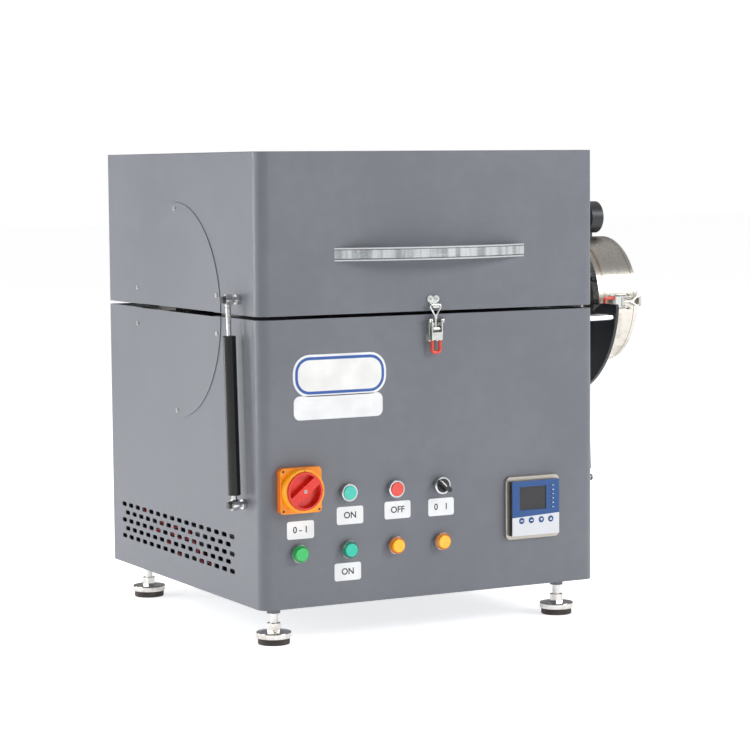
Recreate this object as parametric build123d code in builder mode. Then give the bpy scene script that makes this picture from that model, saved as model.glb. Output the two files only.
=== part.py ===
from build123d import *
import os
from math import cos, pi, radians, sin

# Bench-top clam-shell quartz tube furnace: a sheet-metal base, a hinged lid on two gas struts, a quartz
# tube between two heated insulation halves, and a vacuum barrel with a latched door at the right.
# Millimetres, +Z up, +X to the right along the tube, -Y towards the control panel.
# The origin is the middle of the floor area under the whole object.

os.makedirs("parts", exist_ok=True)

# Casing
body_width = 650.0
body_depth = 650.0
base_height = 480.0
parting_gap = 6.0
lid_height = 270.0
corner_radius = 20.0
sheet = 2.0
flange_width = 15.0
foot_height = 66.0

# Fits and clearances
running = 0.05
loose = 0.3
slack = 1.0

# Tube, chamber and insulation
axis_y = 338.0
tube_drop = 8.0
tube_radius = 100.0
tube_wall = 4.0
tube_start = 40.0
tube_end = 820.0
tube_end_round = 40.0
chamber_radius = 128.0
insulation_wall = 62.0
insulation_floor = 84.0
insulation_roof = 86.0
insulation_margin = 28.0
insulation_end_wall = 52.0
insulation_step = 12.0
heater_hoops = 9
heater_strip = 8.0
heater_strip_thickness = 2.0
heater_clearance = 0.3
heater_lap = 14.0
lower_heater_start = 190.0
lower_heater_sweep = 160.0
upper_heater_start = 16.0
upper_heater_sweep = 148.0

# Half-disc covers over the tube openings in both side walls
cover_radius = 188.0
cover_sheet = 1.5
opening_radius = 160.0
cover_screw_radius = 177.0
cover_screw_angle = 10.6
cover_margin = 1.0
tube_notch_gap = 8.0

# Vacuum barrel, its support and its door
ring_face = 802.0
ring_thickness = 12.5
joint_groove = 0.5
barrel_radius = 119.0
barrel_wall = 3.0
barrel_end = 879.5
rim_bore = 106.0
rim_thickness = 6.0
support_radius = 187.0
support_thickness = 6.0
support_corner = 6.0
support_relief_width = 34.0
support_relief_depth = 24.0
support_top_drop = 6.0
support_rod = 6.5
door_gap = 0.8
door_thickness = 8.0
spigot_radius = 103.0
spigot_depth = 5.0
seal_radius = 112.0
seal_section = 2.5
seal_groove_depth = 4.5
door_hinge_offset = 9.0
door_knuckle = 6.0
door_knuckle_length = 14.0
door_strap = 3.0
door_strap_length = 70.0
bracket_length = 34.0
bracket_leaf = 5.0
bracket_pad = 26.0
gauge_radius = 30.0
gauge_front = 871.0
gauge_depth = 28.0
gauge_height = 37.0
gauge_stem = 6.0
gauge_rim = 3.0
gauge_recess = 5.0
needle_length = 20.0
needle_rest = -135.0
needle_width = 2.0
needle_sheet = 1.0
needle_hub = 3.0
needle_pin = 1.0
port_x = 845.0
port_bore = 12.5
port_wall = 1.5
port_length = 36.0
port_flange_radius = 20.0
port_flange_thickness = 4.0

# Gas struts
strut_stand = 20.0
strut_low_y = 62.0
strut_span = 340.0
strut_high_y = 77.0
strut_high_rise = 26.0
strut_tube_start = 16.0
strut_tube_length = 265.0
strut_tube_radius = 11.0
strut_bore = 9.5
strut_end_wall = 5.0
strut_rod_radius = 4.0
strut_rod_shown = 30.0
strut_rod_hidden = 240.0
strut_piston = 8.0
eye_radius = 9.5
eye_width = 10.0
eye_neck = 4.5
bolt_radius = 4.0
bolt_head_radius = 5.5
bolt_head = 6.0
washer_radius = 7.5
washer = 1.6
spacer_radius = 5.0
strut_collar_radius = 8.5
strut_collar_width = 6.5

# Rear hinges
hinge_length = 80.0
hinge_x = (110.0, 460.0)
hinge_leaf = 3.0
hinge_leaf_height = 36.0
hinge_knuckle = 6.0
hinge_pin = 3.0

# Handle on the lid
handle_left = 139.0
handle_length = 366.5
handle_rise = 40.0
handle_lift = 88.0
handle_height = 22.0
handle_thickness = 7.0
handle_foot = 14.0
handle_border = 3.0
handle_recess = 0.8

# Toggle latches, each in its own frame: x across, y along the pull, z off the surface
latch_pivot_drop = 10.0
barrel_latch_pivot = 862.0
latch_out = 10.0
latch_nut_drop = 14.0
latch_nut_radius = 3.5
latch_nut_half = 6.0
latch_over_centre = 1.0
latch_reach = 26.5
latch_apex = 6.0
latch_loop_half = 12.0
latch_wire = 1.7
latch_pin = 2.0
latch_cheek = 1.5
latch_lever_half = 10.3
latch_lever_length = 33.0
latch_lever_depth = 5.0
latch_grip_length = 54.0
latch_grip_half = 7.5
latch_grip_wire = 2.6
latch_grip_bend = 6.0
latch_base_half = 13.5
latch_base_length = 36.0
latch_base_top = 4.0
latch_web_drop = 20.0
latch_ferrule = 3.2
latch_ear = 1.6
catch_lobe = 6.0
catch_screw_half = 5.6
catch_screw_rise = 36.0
catch_half = 6.0
catch_neck = 7.0
catch_sheet = 2.0
catch_tab = 3.0

# Control panel, positions from the casing's lower left front corner
column_x = (67.0, 159.0, 248.5, 337.5)
button_z = 188.0
lamp_z = 92.0
panel_hole = 11.15
bezel_radius = 15.0
bezel_height = 10.0
bezel_bore = 12.2
bezel_floor = 1.5
neck_radius = 11.0
neck_bore = 9.0
neck_length = 14.0
nut_radius = 15.0
nut_thickness = 5.0
cap_proud = 2.0
cap_travel = 4.0
block_width = 28.0
block_height = 40.0
block_depth = 42.0
selector_bar = 26.0
selector_width = 8.0
selector_height = 12.0
selector_rest = 45.0
lens_radius = 14.5
lens_step_radius = 10.5
lens_skirt = 4.0
lens_cap_radius = 11.2
lens_cap_height = 5.0
lamp_bezel_height = 6.0
lamp_body_depth = 40.0
switch_x = 66.5
switch_z = 198.5
switch_plate = 76.0
switch_plate_corner = 7.0
switch_plate_height = 14.0
switch_collar_radius = 36.0
switch_collar_height = 27.0
switch_well_radius = 32.0
switch_well_floor = 6.0
switch_shaft = 5.0
switch_block = 56.0
switch_block_depth = 58.0
knob_radius = 31.5
knob_disc = 10.0
knob_bar_width = 15.0
knob_bar_height = 12.0
knob_bar_angle = 38.0
knob_rim = 3.5
controller_from_right = 131.7
controller_z = 138.0
controller_face = 95.0
controller_proud = 16.0
controller_face_sheet = 2.0
controller_cutout = 91.0
controller_depth = 80.0
trim_width = 108.0
trim_height = 110.0
trim_corner = 9.0
trim_thickness = 6.0
screen_width = 50.7
screen_height = 40.5
screen_offset = -4.3
screen_z = 155.3
screen_recess = 1.2
key_offset = (-28.7, -9.2, 11.1, 30.3)
key_z = 116.5
key_radius = 5.2
key_proud = 0.8
key_travel = 0.6
key_depth = 3.0

# Cooling slots low in the left wall, in staggered rows
vent_y = 357.5
vent_z = 80.6
vent_pitch = 31.9
vent_row = 14.75
vent_columns = 16
vent_length = 21.0
vent_width = 8.0
rear_vent_length = 120.0
rear_vent_rows = 6
rear_vent_pitch = 20.0

# Levelling feet and their welded nuts
foot_inset_x = 46.0
foot_inset_y = 55.0
pad_radius = 27.0
pad_height = 10.0
cup_radius = 30.0
cup_band = 11.0
cup_round = 2.5
cup_slope = 3.0
cup_neck = 13.0
foot_hex = 22.0
foot_hex_height = 11.0
stud_radius = 7.0
stud_top = 20.0
weld_nut = 14.0

# Electrical gear inside the base
gear_width = 130.0
gear_depth = 180.0
coil_height = 95.0
core_height = 112.0
core_depth = 60.0
gear_x = 70.0
gear_y = 150.0
rail_y = 390.0
rail_length = 200.0
relay_count = 4
relay_width = 42.0
relay_height = 78.0
relay_depth = 60.0
gland_x = 110.0
gland_z = 70.0
gland_bore = 6.0
gland_radius = 11.0
gland_nut = 14.0
gland_length = 26.0

# Sizes that follow from the ones above
parting_z = base_height + parting_gap / 2
lid_bottom = base_height + parting_gap
lid_top_z = lid_bottom + lid_height
strut_high_z = lid_bottom + strut_high_rise
strut_low_z = strut_high_z - strut_span
handle_z = lid_bottom + handle_lift
latch_x = body_width / 2
latch_pivot_z = base_height - latch_pivot_drop
controller_x = body_width - controller_from_right
screen_x = controller_x + screen_offset
key_x = [controller_x + offset for offset in key_offset]
axis_z = parting_z - tube_drop
bolt_end = eye_width / 2 + loose + washer
door_inner = barrel_end + door_gap
door_outer = door_inner + door_thickness
reach_left = strut_stand + bolt_end + bolt_head
reach_right = door_outer + door_strap - body_width
reach_front = handle_rise
hinge_y = body_depth + sheet + hinge_knuckle
reach_back = sheet + gland_length - nut_thickness
corner = Vector(
    -(body_width + reach_right - reach_left) / 2,
    -(body_depth + reach_back - reach_front) / 2,
    foot_height,
)

# Three drawing planes on the casing's lower left front corner: seen from above, from the front
# (the normal points out of the panel) and from the left (the normal points along the tube).
plan = Plane(origin=corner)
front = Plane(origin=corner, x_dir=(1, 0, 0), z_dir=(0, -1, 0))
side = Plane(origin=corner, x_dir=(0, 1, 0), z_dir=(1, 0, 0))


def at(x, y, z):
    """A point given from the casing's lower left front corner."""
    return corner + Vector(x, y, z)


def disc(plane, u, v, radius):
    """A round outline on a plane."""
    with BuildSketch(plane) as outline:
        with Locations((u, v)):
            Circle(radius)
    return outline.sketch


def ring(plane, u, v, outer, inner):
    """A flat ring on a plane."""
    with BuildSketch(plane) as outline:
        with Locations((u, v)):
            Circle(outer)
            Circle(inner, mode=Mode.SUBTRACT)
    return outline.sketch


def panel(plane, u0, v0, u1, v1, corner_round=0):
    """A rectangle between two opposite corners, with rounded corners where asked."""
    with BuildSketch(plane) as outline:
        with Locations(((u0 + u1) / 2, (v0 + v1) / 2)):
            if corner_round:
                RectangleRounded(u1 - u0, v1 - v0, corner_round)
            else:
                Rectangle(u1 - u0, v1 - v0)
    return outline.sketch


def casing_plan(plane, inset):
    """The casing from above, inset by a wall: square at the back, rounded at the two front corners."""
    with BuildSketch(plane) as outline:
        with Locations((body_width / 2, body_depth / 2)):
            Rectangle(body_width - 2 * inset, body_depth - 2 * inset)
        fillet(outline.vertices().group_by(Axis.Y)[0], corner_radius - inset)
    return outline.sketch


def casing(bottom, height):
    """A bent sheet casing: three walls with inward flanges at the top, the bottom and the back."""
    floor = plan.offset(bottom)
    rear = front.offset(-body_depth)
    with BuildPart() as shell:
        extrude(casing_plan(floor, 0), amount=height)
        extrude(casing_plan(floor.offset(sheet), sheet), amount=height - 2 * sheet, mode=Mode.SUBTRACT)
        far_x = body_width - flange_width
        opening = panel(floor, flange_width, flange_width, far_x, body_depth - flange_width)
        extrude(opening, amount=height, mode=Mode.SUBTRACT)
        top = bottom + height - flange_width
        back = panel(rear, flange_width, bottom + flange_width, far_x, top)
        extrude(back, amount=sheet, mode=Mode.SUBTRACT)
        extrude(disc(side, axis_y, parting_z, opening_radius), amount=body_width, mode=Mode.SUBTRACT)
    return shell.part


def finish(piece, name):
    """Label a piece and write it."""
    piece.label = name
    export_step(piece, f"parts/{name}.step")


# Base casing: vents in the left wall, holes for the controls in the front wall
base_walls = casing(0, base_height)
with BuildPart() as base_shell:
    add(base_walls)
    with BuildSketch(side) as vents:
        with Locations((vent_y, vent_z)):
            with GridLocations(vent_pitch, 2 * vent_row, vent_columns, 3):
                SlotOverall(vent_length, vent_width)
            with GridLocations(vent_pitch, 2 * vent_row, vent_columns - 1, 2):
                SlotOverall(vent_length, vent_width)
    extrude(amount=sheet, mode=Mode.SUBTRACT)
    with BuildSketch(front) as panel_holes:
        with Locations(*[(x, button_z) for x in column_x[1:]], *[(x, lamp_z) for x in column_x]):
            Circle(panel_hole)
        with Locations((switch_x, switch_z)):
            Circle(switch_shaft + slack)
        with Locations((controller_x, controller_z)):
            Rectangle(controller_cutout + slack, controller_cutout + slack)
    extrude(amount=-sheet, mode=Mode.SUBTRACT)
finish(base_shell.part, "base_shell")

foot_places = [
    (x, y)
    for x in (foot_inset_x, body_width - foot_inset_x)
    for y in (foot_inset_y, body_depth - foot_inset_y)
]

# Floor pan inside the lower flanges, with the feet's nuts welded under it
with BuildPart() as base_floor:
    extrude(casing_plan(plan.offset(sheet), sheet), amount=sheet)
    with BuildSketch(plan.offset(sheet)):
        with Locations(*foot_places):
            RegularPolygon(foot_hex / 2, 6, major_radius=False)
    extrude(amount=-(weld_nut + sheet))
    with BuildSketch(plan.offset(2 * sheet)):
        with Locations(*foot_places):
            Circle(stud_radius + running)
    extrude(amount=-(weld_nut + 3 * sheet), mode=Mode.SUBTRACT)
finish(base_floor.part, "base_floor")

# Rear panel with long cooling slots and the hole for the cable gland
rear_face = front.offset(-body_depth)
with BuildPart() as base_rear_panel:
    extrude(panel(rear_face, sheet, sheet, body_width - sheet, base_height - sheet), amount=-sheet)
    with BuildSketch(rear_face):
        with Locations((body_width / 4, vent_z + vent_row * 4), (body_width * 3 / 4, vent_z + vent_row * 4)):
            with GridLocations(0, rear_vent_pitch, 1, rear_vent_rows):
                SlotOverall(rear_vent_length, vent_width)
        with Locations((gland_x, gland_z)):
            Circle(gland_radius + loose)
    extrude(amount=-sheet, mode=Mode.SUBTRACT)
finish(base_rear_panel.part, "base_rear_panel")

with BuildPart() as cable_gland:
    nut_face = rear_face.offset(-sheet)
    barrel_face = rear_face.offset(nut_thickness)
    extrude(disc(barrel_face, gland_x, gland_z, gland_radius), amount=-(gland_length + sheet))
    with BuildSketch(nut_face):
        with Locations((gland_x, gland_z)):
            RegularPolygon(gland_nut, 6, major_radius=False)
    extrude(amount=-nut_thickness)
    with BuildSketch(rear_face):
        with Locations((gland_x, gland_z)):
            RegularPolygon(gland_nut, 6, major_radius=False)
    extrude(amount=nut_thickness)
    extrude(
        disc(nut_face.offset(-gland_length + nut_thickness), gland_x, gland_z, gland_nut - slack),
        amount=gland_length - 2 * nut_thickness - sheet,
    )
    tip = cable_gland.faces().sort_by(Axis.Y)[-1]
    fillet(tip.edges(), radius=slack)
    extrude(
        disc(rear_face.offset(2 * nut_thickness), gland_x, gland_z, gland_bore),
        amount=-2 * gland_length,
        mode=Mode.SUBTRACT,
    )
finish(cable_gland.part, "cable_gland")

# Insulation block outline, shared by the decks, the tray and both halves
block_x0 = insulation_margin
block_x1 = body_width - insulation_margin
block_y0 = axis_y - chamber_radius - insulation_wall
block_y1 = axis_y + chamber_radius + insulation_wall
tray_z = axis_z - chamber_radius - insulation_floor


def block_plan(level, inset):
    """The insulation block from above, inset on all sides."""
    return panel(
        plan.offset(level), block_x0 + inset, block_y0 + inset, block_x1 - inset, block_y1 - inset
    )


def deck(bottom, top):
    """A plate across the casing, with a window for the insulation and room for the tube openings."""
    with BuildPart() as plate:
        extrude(casing_plan(plan.offset(bottom), sheet), amount=top - bottom)
        extrude(block_plan(bottom, insulation_step), amount=top - bottom, mode=Mode.SUBTRACT)
        extrude(disc(side, axis_y, parting_z, opening_radius), amount=body_width, mode=Mode.SUBTRACT)
    return plate.part


finish(deck(base_height - 2 * sheet, base_height - sheet), "base_deck")

# Tray that carries the lower insulation between the side walls
with BuildPart() as insulation_tray:
    extrude(panel(plan.offset(tray_z - sheet), sheet, block_y0, body_width - sheet, block_y1), amount=sheet)
    for wall_x in (sheet, body_width - 2 * sheet):
        upstand = panel(side.offset(wall_x), block_y0, tray_z, block_y1, tray_z + 2 * flange_width)
        extrude(upstand, amount=sheet)
finish(insulation_tray.part, "insulation_tray")


def insulation(low, high, step_low, step_high, end_bore):
    """One ceramic-fibre half: a block with the chamber through it and narrower bores in its end walls."""
    with BuildPart() as block:
        extrude(block_plan(step_low, 0), amount=step_high - step_low)
        extrude(block_plan(low, insulation_step + slack), amount=high - low)
        chamber = disc(side.offset(block_x0 + insulation_end_wall), axis_y, axis_z, chamber_radius)
        extrude(chamber, amount=block_x1 - block_x0 - 2 * insulation_end_wall, mode=Mode.SUBTRACT)
        extrude(disc(side, axis_y, axis_z, end_bore), amount=body_width, mode=Mode.SUBTRACT)
    return block.part


deck_low = base_height - 2 * sheet
deck_high = lid_bottom + 2 * sheet
roof_z = axis_z + chamber_radius + insulation_roof
lower_half = insulation(tray_z, parting_z - slack / 2, tray_z, deck_low, tube_radius + loose)
upper_half = insulation(parting_z + slack / 2, roof_z, deck_high, roof_z, tube_radius + slack)
finish(lower_half, "lower_insulation")
finish(upper_half, "upper_insulation")


def ring_sector(plane, outer, inner, start_angle, sweep):
    """Part of a ring about the tube's axis, seen along the tube."""
    with BuildSketch(plane) as strip:
        with BuildLine():
            long_arc = CenterArc((axis_y, axis_z), outer, start_angle, sweep)
            short_arc = CenterArc((axis_y, axis_z), inner, start_angle, sweep)
            Line(long_arc @ 0, short_arc @ 0)
            Line(long_arc @ 1, short_arc @ 1)
        make_face()
    return strip.sketch


def heater(start_angle, sweep):
    """A ribbon element: half hoops along the chamber, joined by links at alternate ends."""
    outer = chamber_radius - heater_clearance
    inner = outer - heater_strip_thickness
    link = heater_strip / outer * 180 / pi
    first = block_x0 + insulation_end_wall + heater_lap
    last = block_x1 - insulation_end_wall - heater_lap - heater_strip
    pitch = (last - first) / (heater_hoops - 1)
    with BuildPart() as element:
        for hoop in range(heater_hoops):
            hoop_face = side.offset(first + hoop * pitch)
            extrude(ring_sector(hoop_face, outer, inner, start_angle, sweep), amount=heater_strip)
            if hoop < heater_hoops - 1:
                link_start = start_angle + (sweep - link if hoop % 2 == 0 else 0)
                extrude(ring_sector(hoop_face, outer, inner, link_start, link), amount=pitch + heater_strip)
    return element.part


finish(heater(lower_heater_start, lower_heater_sweep), "lower_heater")
finish(heater(upper_heater_start, upper_heater_sweep), "upper_heater")

# Quartz tube, closed and rounded at the left, open in the barrel
with BuildPart() as quartz_tube:
    extrude(disc(side.offset(tube_start), axis_y, axis_z, tube_radius), amount=tube_end - tube_start)
    closed_end = quartz_tube.faces().sort_by(Axis.X)[0]
    fillet(closed_end.edges(), radius=tube_end_round)
    offset(amount=-tube_wall, openings=quartz_tube.faces().sort_by(Axis.X)[-1])
finish(quartz_tube.part, "quartz_tube")


def half_covers(low, high):
    """The two half discs over the tube openings; the right one is notched for the tube."""
    with BuildPart() as covers:
        for wall_x in (-cover_sheet, body_width):
            with BuildSketch(side.offset(wall_x)) as outline:
                with Locations((axis_y, parting_z)):
                    Circle(cover_radius)
                with Locations((axis_y, (low + high) / 2)):
                    Rectangle(2 * cover_radius, high - low, mode=Mode.INTERSECT)
                if wall_x > 0:
                    with Locations((axis_y, axis_z)):
                        Circle(tube_radius + tube_notch_gap, mode=Mode.SUBTRACT)
            extrude(amount=cover_sheet)
    return covers.part


covers_low = half_covers(parting_z - cover_radius, base_height - cover_margin)
covers_high = half_covers(lid_bottom + cover_margin, parting_z + cover_radius)
finish(covers_low, "side_covers_lower")
finish(covers_high, "side_covers_upper")

# Clamp ring that squeezes the tube's seal, at the back of the barrel
with BuildPart() as clamp_ring:
    extrude(
        ring(side.offset(ring_face), axis_y, axis_z, barrel_radius, tube_radius + loose),
        amount=ring_thickness,
    )
    chamfer(clamp_ring.faces().sort_by(Axis.X)[0].edges().sort_by(SortBy.LENGTH)[-1], length=slack)
finish(clamp_ring.part, "clamp_ring")

# Vacuum barrel: back plate round the tube, drum, and a rim that the door seals on
barrel_start = ring_face + ring_thickness + joint_groove
with BuildPart() as barrel:
    extrude(disc(side.offset(barrel_start), axis_y, axis_z, barrel_radius), amount=barrel_end - barrel_start)
    extrude(
        disc(side.offset(barrel_start + rim_thickness), axis_y, axis_z, barrel_radius - barrel_wall),
        amount=barrel_end - barrel_start - 2 * rim_thickness,
        mode=Mode.SUBTRACT,
    )
    back_bore = disc(side.offset(barrel_start), axis_y, axis_z, tube_radius + loose)
    extrude(back_bore, amount=rim_thickness, mode=Mode.SUBTRACT)
    rim_hole = disc(side.offset(barrel_end - rim_thickness), axis_y, axis_z, rim_bore)
    extrude(rim_hole, amount=rim_thickness, mode=Mode.SUBTRACT)
    extrude(disc(plan, port_x, axis_y, port_bore), amount=axis_z, mode=Mode.SUBTRACT)
finish(barrel.part, "barrel")

# Half-round plate under the clamp ring, carried by three rods from the right wall
support_x = ring_face - support_thickness
support_top = base_height - support_top_drop
with BuildPart() as support_plate:
    with BuildSketch(side.offset(support_x)) as outline:
        with Locations((axis_y, parting_z)):
            Circle(support_radius)
        with Locations((axis_y, support_top - support_radius)):
            Rectangle(2 * support_radius, 2 * support_radius, mode=Mode.INTERSECT)
        with Locations((axis_y, axis_z)):
            Circle(tube_radius + loose, mode=Mode.SUBTRACT)
        shoulder = tube_radius + support_relief_width
        throat = tube_radius - 4 * slack
        with BuildLine():
            Polyline(
                (axis_y - shoulder, support_top),
                (axis_y - throat, support_top - support_relief_depth),
                (axis_y + throat, support_top - support_relief_depth),
                (axis_y + shoulder, support_top),
                close=True,
            )
        make_face(mode=Mode.SUBTRACT)
        tips = outline.vertices().group_by(Axis.Y)[-1].sort_by(Axis.X)
        fillet([tips[0], tips[-1]], radius=support_corner)
    extrude(amount=support_thickness)
finish(support_plate.part, "support_plate")

with BuildPart() as support_rods:
    for angle in (180 + cover_screw_angle, 270, 360 - cover_screw_angle):
        y = axis_y + cover_screw_radius * cos(radians(angle))
        z = parting_z + cover_screw_radius * sin(radians(angle))
        start = body_width + cover_sheet
        extrude(disc(side.offset(start), y, z, support_rod), amount=support_x - start)
finish(support_rods.part, "support_rods")

# Door: a disc with a spigot, a seal groove, a strap with the hinge knuckle, and the latch's catch tab
door_pivot_y = axis_y + barrel_radius + door_hinge_offset
door_pivot_x = door_inner + door_thickness / 2
knuckle_low = axis_z - door_knuckle_length / 2
door_latch_plane = Plane(
    origin=at(barrel_latch_pivot, axis_y - barrel_radius, axis_z), x_dir=(0, 0, -1), z_dir=(0, -1, 0)
)
latch_plane = Plane(origin=at(latch_x, 0, latch_pivot_z), x_dir=(1, 0, 0), z_dir=(0, -1, 0))
tab_top = latch_reach - latch_wire - loose - running
tab_out = latch_out + latch_wire

with BuildPart() as door:
    extrude(disc(side.offset(door_inner), axis_y, axis_z, barrel_radius), amount=door_thickness)
    chamfer(door.faces().sort_by(Axis.X)[-1].edges(), length=slack)
    extrude(disc(side.offset(door_inner), axis_y, axis_z, spigot_radius), amount=-spigot_depth)
    groove = ring(
        side.offset(door_inner), axis_y, axis_z, seal_radius + seal_section, seal_radius - seal_section
    )
    extrude(groove, amount=seal_groove_depth, mode=Mode.SUBTRACT)
    strap = panel(
        side.offset(door_outer), door_pivot_y - door_strap_length, knuckle_low,
        door_pivot_y, knuckle_low + door_knuckle_length,
    )
    extrude(strap, amount=door_strap)
    bearing = plan.offset(knuckle_low)
    extrude(disc(bearing, door_pivot_x, door_pivot_y, door_knuckle), amount=door_knuckle_length)
    pin_hole = disc(bearing, door_pivot_x, door_pivot_y, hinge_pin + running)
    extrude(pin_hole, amount=door_knuckle_length, mode=Mode.SUBTRACT)
    catch_foot = panel(
        door_latch_plane.offset(-barrel_wall), -catch_half, tab_top - catch_tab,
        catch_half, tab_top,
    )
    extrude(catch_foot, amount=tab_out + barrel_wall)
finish(door.part, "door")

with BuildPart() as door_seal:
    seal_x = door_inner + seal_groove_depth - seal_section
    with BuildSketch(Plane(origin=at(seal_x, axis_y, axis_z), x_dir=(0, 1, 0), z_dir=(0, 0, 1))):
        with Locations((seal_radius, 0)):
            Circle(seal_section - running)
    revolve(axis=Axis(at(0, axis_y, axis_z), (1, 0, 0)), revolution_arc=360)
finish(door_seal.part, "door_seal")


def across_plane(plane, across):
    """A plane square to a latch's own: x runs along the pull and y off the surface."""
    origin = plane.from_local_coords(Vector(across, 0, 0))
    return Plane(origin=origin, x_dir=plane.y_dir, z_dir=plane.x_dir)


def latch_base(plane, seat):
    """A latch's base: a plate with two ears, and a rivet through each ear."""
    rivet_end = latch_lever_half - latch_cheek - slack / 2
    with BuildPart() as base:
        half = latch_base_half
        foot = panel(plane.offset(-seat), -half, -latch_base_length, half, -latch_base_top)
        extrude(foot, amount=seat + latch_cheek)
        for hand in (-1, 1):
            ear_face = across_plane(plane, hand * latch_base_half)
            ear = panel(ear_face, -latch_base_length * 2 / 3, 0, 0, latch_out)
            extrude(ear, amount=-hand * latch_ear)
            extrude(disc(ear_face, 0, latch_out, latch_lever_depth), amount=-hand * latch_ear)
            extrude(disc(ear_face, 0, latch_out, latch_pin), amount=-hand * (latch_base_half - rivet_end))
            extrude(disc(ear_face, 0, latch_out, latch_pin + latch_wire), amount=hand * slack)
    return base.part


def latch_lever(plane):
    """A latch's lever: two cheeks on the rivets, a web between them and a bent wire grip."""
    nut_out = latch_out - latch_over_centre
    cheek_gap = latch_lever_half - latch_cheek
    with BuildPart() as lever:
        for hand in (-1, 1):
            cheek_face = across_plane(plane, hand * latch_lever_half)
            low, high = latch_out - latch_lever_depth, latch_out + latch_lever_depth
            extrude(panel(cheek_face, -latch_lever_length, low, 0, high), amount=-hand * latch_cheek)
            extrude(disc(cheek_face, 0, latch_out, latch_lever_depth), amount=-hand * latch_cheek)
            for along, out in ((0, latch_out), (-latch_nut_drop, nut_out)):
                hole = disc(cheek_face, along, out, latch_pin + running)
                extrude(hole, amount=-hand * latch_cheek, mode=Mode.SUBTRACT)
        web_face = plane.offset(latch_out + latch_lever_depth)
        web = panel(web_face, -cheek_gap, -latch_lever_length, cheek_gap, -latch_web_drop)
        extrude(web, amount=-latch_cheek)
        grip_start = -latch_web_drop - 2 * latch_grip_wire
        with BuildLine(plane.offset(latch_out)) as grip_line:
            FilletPolyline(
                (-latch_grip_half, grip_start),
                (-latch_grip_half, -latch_grip_length),
                (latch_grip_half, -latch_grip_length),
                (latch_grip_half, grip_start),
                radius=latch_grip_bend,
            )
        with BuildSketch(Plane(origin=grip_line.line @ 0, z_dir=grip_line.line % 0)):
            Circle(latch_grip_wire)
        sweep(path=grip_line.line)
    return lever.part


def latch_loop(plane):
    """A latch's wire triangle, its stem, and the nut that turns in the lever."""
    level = plane.offset(latch_out - latch_over_centre)
    leg_start = latch_apex + 2 * latch_wire
    leg_half = latch_loop_half * (leg_start - latch_apex) / (latch_reach - latch_apex)
    shank = Plane(
        origin=level.from_local_coords(Vector(0, -latch_nut_drop, 0)), x_dir=plane.x_dir, z_dir=plane.y_dir
    )
    with BuildPart() as loop:
        with BuildLine(level) as wire_line:
            FilletPolyline(
                (-leg_half, leg_start),
                (-latch_loop_half, latch_reach),
                (latch_loop_half, latch_reach),
                (leg_half, leg_start),
                radius=latch_wire + slack,
            )
        with BuildSketch(Plane(origin=wire_line.line @ 0, z_dir=wire_line.line % 0)):
            Circle(latch_wire)
        sweep(path=wire_line.line)
        extrude(disc(shank, 0, 0, latch_pin), amount=latch_nut_drop + latch_apex)
        ferrule = disc(shank.offset(latch_nut_drop + latch_apex / 2), 0, 0, latch_ferrule)
        extrude(ferrule, amount=leg_start + slack - latch_apex / 2)
        nut_face = across_plane(level, -latch_nut_half)
        extrude(disc(nut_face, -latch_nut_drop, 0, latch_nut_radius), amount=2 * latch_nut_half)
        pin_half = latch_lever_half + slack / 2
        pin_face = across_plane(level, -pin_half)
        extrude(disc(pin_face, -latch_nut_drop, 0, latch_pin), amount=2 * pin_half)
    return loop.part


# Front latch: base and lever on the base casing, catch on the lid
finish(latch_base(latch_plane, 0), "front_latch_base")
finish(latch_lever(latch_plane), "front_latch_lever")
finish(latch_loop(latch_plane), "front_latch_loop")

with BuildPart() as front_latch_catch:
    with BuildSketch(latch_plane):
        with Locations((-catch_screw_half, catch_screw_rise), (catch_screw_half, catch_screw_rise)):
            Circle(catch_lobe)
        with Locations((0, (tab_top - catch_tab + catch_screw_rise) / 2)):
            Rectangle(2 * catch_neck, catch_screw_rise - tab_top + catch_tab)
    extrude(amount=catch_sheet)
    tab = panel(latch_plane, -catch_half, tab_top - catch_tab, catch_half, tab_top)
    extrude(tab, amount=tab_out)
finish(front_latch_catch.part, "front_latch_catch")

# Door latch and door hinge, both welded to the barrel
barrel_latch = latch_base(door_latch_plane, barrel_wall)
bracket_low = knuckle_low - loose - door_knuckle_length
bracket_height = 3 * door_knuckle_length + 2 * loose
bracket_x = door_pivot_x - bracket_length
with BuildPart() as door_fittings:
    add(barrel_latch)
    for low in (bracket_low, bracket_low + bracket_height - door_knuckle_length):
        level = plan.offset(low)
        extrude(disc(level, door_pivot_x, door_pivot_y, door_knuckle), amount=door_knuckle_length)
        arm = panel(level, bracket_x, door_pivot_y - bracket_leaf, door_pivot_x, door_pivot_y)
        extrude(arm, amount=door_knuckle_length)
    level = plan.offset(bracket_low)
    leaf_end = door_pivot_x - door_knuckle - slack
    leaf = panel(level, bracket_x, door_pivot_y - bracket_leaf, leaf_end, door_pivot_y)
    extrude(leaf, amount=bracket_height)
    pad_y = door_pivot_y - 2 * door_hinge_offset
    pad = panel(level, bracket_x, pad_y, bracket_x + bracket_pad, door_pivot_y - bracket_leaf)
    extrude(pad, amount=bracket_height)
    extrude(disc(level, door_pivot_x, door_pivot_y, hinge_pin), amount=bracket_height)
    extrude(disc(side, axis_y, axis_z, barrel_radius), amount=door_inner, mode=Mode.SUBTRACT)
finish(door_fittings.part, "door_fittings")
finish(latch_lever(door_latch_plane), "door_latch_lever")
finish(latch_loop(door_latch_plane), "door_latch_loop")

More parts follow.
